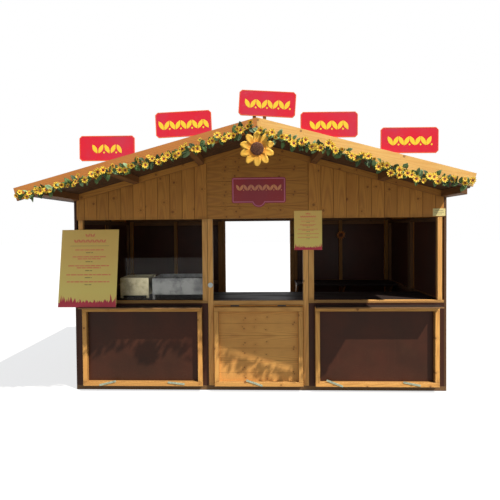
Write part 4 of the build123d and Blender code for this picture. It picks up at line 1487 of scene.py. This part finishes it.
def add_floor():
    """Pale floor that keeps the hut's shadow and throws little light up."""
    mesh = bpy.data.meshes.new("floor")
    corners = flat_face(-FLOOR_REACH, FLOOR_REACH, -FLOOR_REACH, FLOOR_REACH, 0)
    mesh.from_pydata(corners, [], [(0, 1, 2, 3)])
    floor = add_object("floor", mesh)
    material = bpy.data.materials.new("floor")
    tree = fresh_tree(material)
    dim = add_node(tree, "ShaderNodeBsdfDiffuse", {"Color": (0.22, 0.22, 0.20)})[0]
    pale = add_node(tree, "ShaderNodeBsdfDiffuse", {"Color": (0.8, 0.8, 0.8)})[0]
    glow = add_node(tree, "ShaderNodeEmission", {"Color": WHITE, "Strength": 1.0})[0]
    shown = add_node(tree, "ShaderNodeMixShader", {0: 0.28, 1: glow, 2: pale})[0]
    both = add_node(tree, "ShaderNodeMixShader", {0: seen_directly(tree), 1: dim, 2: shown})[0]
    add_node(tree, "ShaderNodeOutputMaterial", {0: both})
    mesh.materials.append(material)


# Operators

class HUT_OT_stage(bpy.types.Operator):
    """Pale floor, plain light and the camera"""

    bl_idname = "hut.stage"
    bl_label = "Stage"

    def execute(self, context):
        context.scene.view_settings.view_transform = "Standard"
        settings = context.scene.hut_stage
        add_camera()
        add_world(settings.fill)
        add_sun("key", SUN_DIRECTION, settings.sun, settings.sun_size, SUN_COLOUR)
        add_sun("back_fill", BACK_DIRECTION, BACK_STRENGTH, BACK_ANGLE, WHITE)
        add_floor()
        return {"FINISHED"}


class HUT_OT_framing(bpy.types.Operator):
    """Posts, studs, rails, purlins and bearers with their own grain and softened edges"""

    bl_idname = "hut.framing"
    bl_label = "Framing"

    def execute(self, context):
        for name, sort, slot, edge, *nodes in FRAMING:
            dress(name, timber(sort), slot, edge, *nodes)
        return {"FINISHED"}


class HUT_OT_floor(bpy.types.Operator):
    """Floorboards across the hut, and those in the rear doorway"""

    bl_idname = "hut.floor"
    bl_label = "Floor"

    def execute(self, context):
        gather = Gather()
        lo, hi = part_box("floor_deck")
        posts = low("rear_posts").y
        side = low("front_centre_boards").x
        start = Vector((0, lo.y, hi.z))
        for x0, x1, y0, y1 in ((lo.x, hi.x, lo.y, posts), (side, -side, posts, hi.y)):
            face = flat_face(x0, x1, y0, y1, hi.z)
            boarding(gather, face, X_AXIS, Z_AXIS, board_width(), hi.z - lo.z, start)
        gather.piece("floorboards", [timber("rough_pine")], ROUGH, "floor_deck")
        return {"FINISHED"}


class HUT_OT_gables(bpy.types.Operator):
    """Boarded gables, front and rear: upright boards at the sides, level ones in the middle"""

    bl_idname = "hut.gables"
    bl_label = "Gables"

    def execute(self, context):
        width = board_width()
        materials = [timber("gable_pine"), look(film_faced_panel), timber("roof_pine")]
        for name, y, outward in (("front", FRONT_Y, -Y_AXIS), ("rear", REAR_Y, Y_AXIS)):
            node = f"{name}_gable_centre"
            centre = Gather()
            start = Vector((0, y, HEADER_Z))
            outline = gable_outline(node, y)
            boarding(centre, outline, X_AXIS, outward, width, CLADDING, start, GABLE_LOG)
            knotty = [timber("knotty_gable")]
            centre.piece(name + "_gable_level_boards", knotty, "pine_shaded", node)
            for edge, hand in ((-JOINT_X, "left"), (JOINT_X, "right")):
                node = f"front_gable_{hand}" if name == "front" else f"rear_wall_{hand}"
                upright = Gather()
                start = Vector((edge, y, HEADER_Z))
                outline = gable_outline(node, y)
                boarding(upright, outline, Z_AXIS, outward, width, CLADDING, start)
                joint_strip(upright, edge, max(p.z for p in outline), y, outward)
                if name == "rear":
                    framed_panel(upright, low(node).x, high(node).x, y, outward)
                upright.piece(f"{name}_{hand}_boards", materials, "pine_shaded", node)
        return {"FINISHED"}


class HUT_OT_side_walls(bpy.types.Operator):
    """Side walls: dark panels in pine frames, two elements a side, with boards over the header"""

    bl_idname = "hut.side_walls"
    bl_label = "Side Walls"

    def execute(self, context):
        panel = look(film_faced_panel)
        rails = (BASE_Z, BASE_Z + STILE), (COUNTER_Z - STILE, COUNTER_Z)
        panels = (BASE_Z + STILE, COUNTER_Z - STILE), (COUNTER_Z, HEADER_Z)
        for hand, sign in (("left", -1), ("right", 1)):
            node = hand + "_wall_boards"
            gather = Gather()
            for points, _ in solids_of(node):
                (y0, y1), top = extent(p.y for p in points), max(p.z for p in points)
                # Slot 2 is the front stile: on the left the dark panel, as painted shade on the
                # corner's edge; on the right brown roof pine
                corner = 2 if y0 < FRONT_Y + FLUSH else 0
                between = (y0 + STILE, y1 - STILE)
                wall_field(gather, sign, ((y0, y0 + STILE), (BASE_Z, top)), Z_AXIS, corner)
                wall_field(gather, sign, ((y1 - STILE, y1), (BASE_Z, top)), Z_AXIS)
                for heights in (*rails, (HEADER_Z, top)):
                    wall_field(gather, sign, (between, heights), Y_AXIS)
                # The dark panels, film-faced outside, also paint the shade inside the hut
                for heights in panels:
                    wall_field(gather, sign, (between, heights), Y_AXIS, 1, PANEL_RECESS)
            materials = [timber("pine"), panel, panel if sign < 0 else timber("roof_pine")]
            gather.piece(hand + "_wall_elements", materials, "film_faced_plywood", node)
        return {"FINISHED"}


class HUT_OT_lower_front(bpy.types.Operator):
    """Dark panels behind the side hatches and level boards behind the middle one"""

    bl_idname = "hut.lower_front"
    bl_label = "Lower Front"

    def execute(self, context):
        panel, slot = look(film_faced_panel), "film_faced_plywood"
        dress("front_lower_panels", panel, slot, SHEET_EDGE, "front_lower_walls")
        board_up("front_centre_wall_boards", "front_centre_boards", "pine", "pine_frame")
        return {"FINISHED"}


class HUT_OT_hatches(bpy.types.Operator):
    """Folded-down hatches: pine frames, dark panels at the sides and boards in the middle"""

    bl_idname = "hut.hatches"
    bl_label = "Hatches"

    def execute(self, context):
        for hand in ("left", "centre", "right"):
            node = f"hatch_{hand}_frame"
            gather = Gather()
            lo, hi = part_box(node)
            inner, outer = frame_hole(node)
            for z0, z1 in ((lo.z, inner.z), (outer.z, hi.z)):
                size = (hi.x - lo.x, hi.y - lo.y, z1 - z0)
                bar(gather, (lo.x, lo.y, z0), size, X_AXIS, PLANED_EDGE)
            for x0, x1 in ((lo.x, inner.x), (outer.x, hi.x)):
                size = (x1 - x0, hi.y - lo.y, outer.z - inner.z)
                bar(gather, (x0, lo.y, inner.z), size, Z_AXIS, PLANED_EDGE)
            gather.piece(f"hatch_{hand}_battens", [timber("hatch_pine")], "pine_sunlit", node)
        panel, slot = look(film_faced_panel), "film_faced_plywood"
        dress("hatch_dark_panels", panel, slot, SHEET_EDGE, "hatch_side_panels")
        top = frame_hole("hatch_centre_frame")[1].z
        name, node = "hatch_centre_boards", "hatch_centre_panel"
        board_up(name, node, "knotty_pine", "pine_sunlit", top, HATCH_LOG)
        self.ledges()
        return {"FINISHED"}

    def ledges(self):
        """Ledge boards with a batten along their front edge."""
        node = "serving_ledges"
        dress("ledge_boards", look(dark_counter), "film_faced_plywood", TIGHT_EDGE, node)
        gather = Gather()
        thick, margin = 0.004, 0.001
        lo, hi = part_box(node)
        for points, _ in solids_of(node):
            x0, x1 = extent(p.x for p in points)
            size = (x1 - x0, thick, hi.z - lo.z - 2 * margin)
            bar(gather, (x0, lo.y - thick, lo.z + margin), size, X_AXIS, SHEET_EDGE)
        gather.piece("ledge_edging", [timber("rough_pine")], ROUGH)


class HUT_OT_roof(bpy.types.Operator):
    """Boards under the felt, felt strips with laps, the ridge strip and the bargeboards"""

    bl_idname = "hut.roof"
    bl_label = "Roof"

    def execute(self, context):
        width = context.scene.hut_timber.deck_board_width
        for hand, side in (("left", -1), ("right", 1)):
            node = "roof_deck_" + hand
            gather = Gather()
            eave, ridge, slope, up, feet = roof_slope(node, side)
            thickness = (high(node).z - low(node).z - abs(ridge.z - eave.z)) * up.z
            start = Vector((0, low(node).y, 0))
            for foot, y0, y1 in feet:
                face = slope_face(foot, ridge, y0, y1)
                boarding(gather, face, slope, up, width, thickness, start)
            gather.piece("roof_boards_" + hand, [timber("deck_pine")], ROUGH, node)
        lay_felt()
        for name, sort, *nodes in (
            ("bargeboard_front_left", "pine_stained", "front_bargeboard_left"),
            ("bargeboard_front_right", "pine_fresh", "front_bargeboard_right"),
            ("bargeboards_rear", "pine", "rear_bargeboard_left", "rear_bargeboard_right"),
        ):
            dress(name, timber(sort), "pine_sunlit", PLANED_EDGE, *nodes)
        return {"FINISHED"}


class HUT_OT_counters(bpy.types.Operator):
    """Dark counter boards with a thin rounded edge"""

    bl_idname = "hut.counters"
    bl_label = "Counters"

    def execute(self, context):
        nodes = "worktops", "back_counter"
        dress("counter_boards", look(dark_counter), "dark_worktop", PLANED_EDGE, *nodes)
        return {"FINISHED"}


class HUT_OT_units(bpy.types.Operator):
    """Steel cooking units with a dark plate in each pan, the clear screen and the opener"""

    bl_idname = "hut.units"
    bl_label = "Cooking Units"

    def execute(self, context):
        rim, sunk, plate = 0.026, 0.045, 0.006
        for node, name, clean, greasy in (
            ("fryer", "warm_sheet", "#D7C8A6", "#A89A7C"),
            ("griddle", "cool_sheet", "#918E8C", "#6E6B6D"),
        ):
            sheet = look(brushed_sheet, clean, greasy, name=name)
            dress(node + "_housing", sheet, "stainless_steel", BLUNT_EDGE, node)
            gather = Gather()
            lo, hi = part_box(node)
            size = (hi.x - lo.x - 2 * rim, hi.y - lo.y - 2 * rim, plate)
            bar(gather, (lo.x + rim, lo.y + rim, hi.z - sunk), size, Y_AXIS)
            gather.piece(node + "_plate", [look(cooking_iron)], "stainless_steel")
        dress("screen_sheet", look(clear_screen), "clear_glass", SHEET_EDGE, "glass_screen")
        enamel = look(painted, "#F0F4F0", "#DCE2DE", 0.3, name="opener_enamel")
        dress("opener_knob", enamel, "opener_white", PLANED_EDGE, "bottle_opener")
        return {"FINISHED"}


class HUT_OT_ironwork(bpy.types.Operator):
    """Hinges, latch bars and the flower's hanger in zinc-coated steel"""

    bl_idname = "hut.ironwork"
    bl_label = "Ironwork"

    def execute(self, context):
        for node, name, steel in (
            ("hatch_hinges", "hinges", dull_steel()),
            ("hatch_latches", "latch_bars", look(galvanised_steel)),
            ("sunflower_hanger", "flower_hanger", dull_steel()),
        ):
            gather = Gather()
            for points, faces in solids_of(node):
                gather.add(points, faces)
            gather.piece(name, [steel], "galvanised_steel", node)
        return {"FINISHED"}


class HUT_OT_signs(bpy.types.Operator):
    """Five red signs on the roof, the maroon one over the middle, its red darkened as painted
    shade, and the notice
    """

    bl_idname = "hut.signs"
    bl_label = "Signs"

    def execute(self, context):
        signs = context.scene.hut_signs
        gather = Gather()
        order = sorted(solids_of("roof_signs"), key=lambda solid: min(p.x for p in solid[0]))
        for solid, share in zip(order, ROW_SHARES):
            board = Print(gather, solid, PLATE_EDGE)
            board.line(0.001, 0.006, 2)
            height = signs.ornament * board.height
            board.row(-0.02 * board.height, share * board.width, height, 1)
        red = look(painted, signs.sign, (0.66, 0.042, 0.085), 0.5, 0.08, 0.15, name="sign_red")
        prints = paints("sign_yellow", "sign_orange")
        gather.piece("red_signs", [red, *prints], "sign_red", "roof_signs")

        gather = Gather()
        for solid in solids_of("name_sign"):
            board = Print(gather, solid, SHEET_EDGE)
            board.line(0.008, 0.011, 2)
            # The ornament leaves the bulge at the sign's foot bare
            height = board.width * NAME_SIGN_RATIO
            board.centre = board.centre + board.v * ((board.height - height) / 2)
            board.row(0.10 * height, 0.84 * board.width, 0.27 * height, 1)
        # The name sign's red is darker than the roof signs': painted shade under the canopy
        fade = (0.38, 0.050, 0.068)
        maroon = look(painted, signs.name_sign, fade, name="name_sign_maroon")
        prints = paints("name_sign_salmon", "name_sign_pink")
        gather.piece("maroon_sign", [maroon, *prints], "name_sign_maroon", "name_sign")

        gather = Gather()
        for solid in solids_of("notice_plate"):
            board = Print(gather, solid, PLATE_EDGE)
            for b, width in ((0.018, 0.085), (0.0, 0.100), (-0.018, 0.060)):
                board.bar(0, b, width, 0.004, 1)
        prints = paints("notice_cream", "notice_grey")
        gather.piece("notice", prints, "notice_cream", "notice_plate")
        return {"FINISHED"}


class HUT_OT_price_lists(bpy.types.Operator):
    """The two printed boards at the front"""

    bl_idname = "hut.price_lists"
    bl_label = "Price Lists"

    def execute(self, context):
        price_list("large_list", "poster_large")
        price_list("small_list", "poster_small")
        return {"FINISHED"}


class HUT_OT_sunflower(bpy.types.Operator):
    """The large sunflower that hangs from the ridge, and the small one on the rear wall"""

    bl_idname = "hut.sunflower"
    bl_label = "Sunflowers"

    def execute(self, context):
        lo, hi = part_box("sunflower_petals")
        front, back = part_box("sunflower_disc")
        x, z = (lo.x + hi.x) / 2, (lo.z + hi.z) / 2
        radius, hub = (hi.x - lo.x) / 2, (back.x - front.x) / 2
        centre = Vector((x, lo.y + 0.002, z))
        root = hub * 0.8
        gather = Gather()
        count = context.scene.hut_flowers.petals
        for index in range(count):
            along = turned(X_AXIS, Z_AXIS, 2 * math.pi * (index + 0.5) / count)
            foot = centre + along * root - Y_AXIS * 0.002 * (index % 2)
            tilt = along + Y_AXIS * random.uniform(-0.06, 0.02)
            width = PETAL_WIDTH * random.uniform(0.96, 1.04)
            shape = {"cup": 0.14, "bend": 0.04, "steps": 14, "form": rounded}
            blade(gather, foot, tilt, -Y_AXIS, radius - root, width, **shape)
        warm = look(petal_cloth, "#FAA42A", "#FFCC4C", 0.6, name="petal_large")
        gather.piece("sunflower_petal_ring", [warm], "petal_yellow", "sunflower_petals")

        gather = Gather()
        middle = Vector((x, back.y - 0.001, z))
        rise = back.y - front.y
        dome(gather, middle, -Y_AXIS, hub, rise, 0, rings=6, sides=32)
        seeds(gather, middle, -Y_AXIS, hub * 0.96, rise, 240)
        seed = look(seed_head)
        gather.piece("sunflower_seed_head", [seed], "seed_brown", "sunflower_disc")

        gather = Gather()
        lo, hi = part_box("wall_flower")
        centre = Vector(((lo.x + hi.x) / 2, lo.y + 0.001, (lo.z + hi.z) / 2))
        radius = (hi.z - lo.z) / 2
        blossom(gather, centre, -Y_AXIS, radius, radius * 0.4, 13, 0.1, (0, 1))
        # The small flower's petals are dark orange-brown: painted shade inside the hut, where the
        # real ones are yellow
        dim = look(petal_cloth, "#B05A24", "#E09048", 0.5, name="petal_dim")
        gather.piece("wall_blossom", [dim, seed], "petal_yellow", "wall_flower")
        return {"FINISHED"}


class HUT_OT_garlands(bpy.types.Operator):
    """Garlands along the bargeboards: twisted stems, leaves and sunflower heads"""

    bl_idname = "hut.garlands"
    bl_label = "Garlands"

    def execute(self, context):
        flowers = context.scene.hut_flowers
        yellow = look(petal_cloth, "#FF9C1C", flowers.petal_tip, 0.46, name="petal_small")
        materials = [look(leaf_cloth), yellow, look(stem_coating), look(seed_head)]
        for hand, side in (("left", -1), ("right", 1)):
            garland = Garland(hand, side)
            garland.stems()
            garland.leaves(flowers.leaf_spacing)
            garland.heads(flowers.head_spacing)
            node = "garland_" + hand
            garland.gather.piece(node + "_flowers", materials, "garland_green", node)
        return {"FINISHED"}


OPERATORS = (
    HUT_OT_stage, HUT_OT_framing, HUT_OT_floor, HUT_OT_gables, HUT_OT_side_walls,
    HUT_OT_lower_front, HUT_OT_hatches, HUT_OT_roof, HUT_OT_counters, HUT_OT_units,
    HUT_OT_ironwork, HUT_OT_signs, HUT_OT_price_lists, HUT_OT_sunflower, HUT_OT_garlands,
)
SETTINGS = {
    "hut_timber": HutTimber,
    "hut_roof": HutRoof,
    "hut_signs": HutSigns,
    "hut_flowers": HutFlowers,
    "hut_stage": HutStage,
}


class HUT_PT_panel(bpy.types.Panel):
    """Lists the hut's settings and the steps that build it."""

    bl_idname = "HUT_PT_panel"
    bl_label = "Barbecue Hut"
    bl_space_type = "VIEW_3D"
    bl_region_type = "UI"
    bl_category = "Barbecue Hut"

    def draw(self, context):
        for name, group in SETTINGS.items():
            box = self.layout.box()
            box.label(text=group.__doc__)
            for key in group.__annotations__:
                box.prop(getattr(context.scene, name), key)
        for operator in OPERATORS:
            self.layout.operator(operator.bl_idname)


def register():
    for cls in (*SETTINGS.values(), *OPERATORS, HUT_PT_panel):
        bpy.utils.register_class(cls)
    for name, group in SETTINGS.items():
        setattr(bpy.types.Scene, name, PointerProperty(type=group))


def unregister():
    for name in SETTINGS:
        delattr(bpy.types.Scene, name)
    for cls in (HUT_PT_panel, *reversed(OPERATORS), *SETTINGS.values()):
        bpy.utils.unregister_class(cls)


def main():
    """Builds the hut."""
    random.seed(RANDOM_SEED)
    register()
    for operator in OPERATORS:
        getattr(bpy.ops.hut, operator.bl_idname.split(".")[1])()


if __name__ == "__main__":
    main()
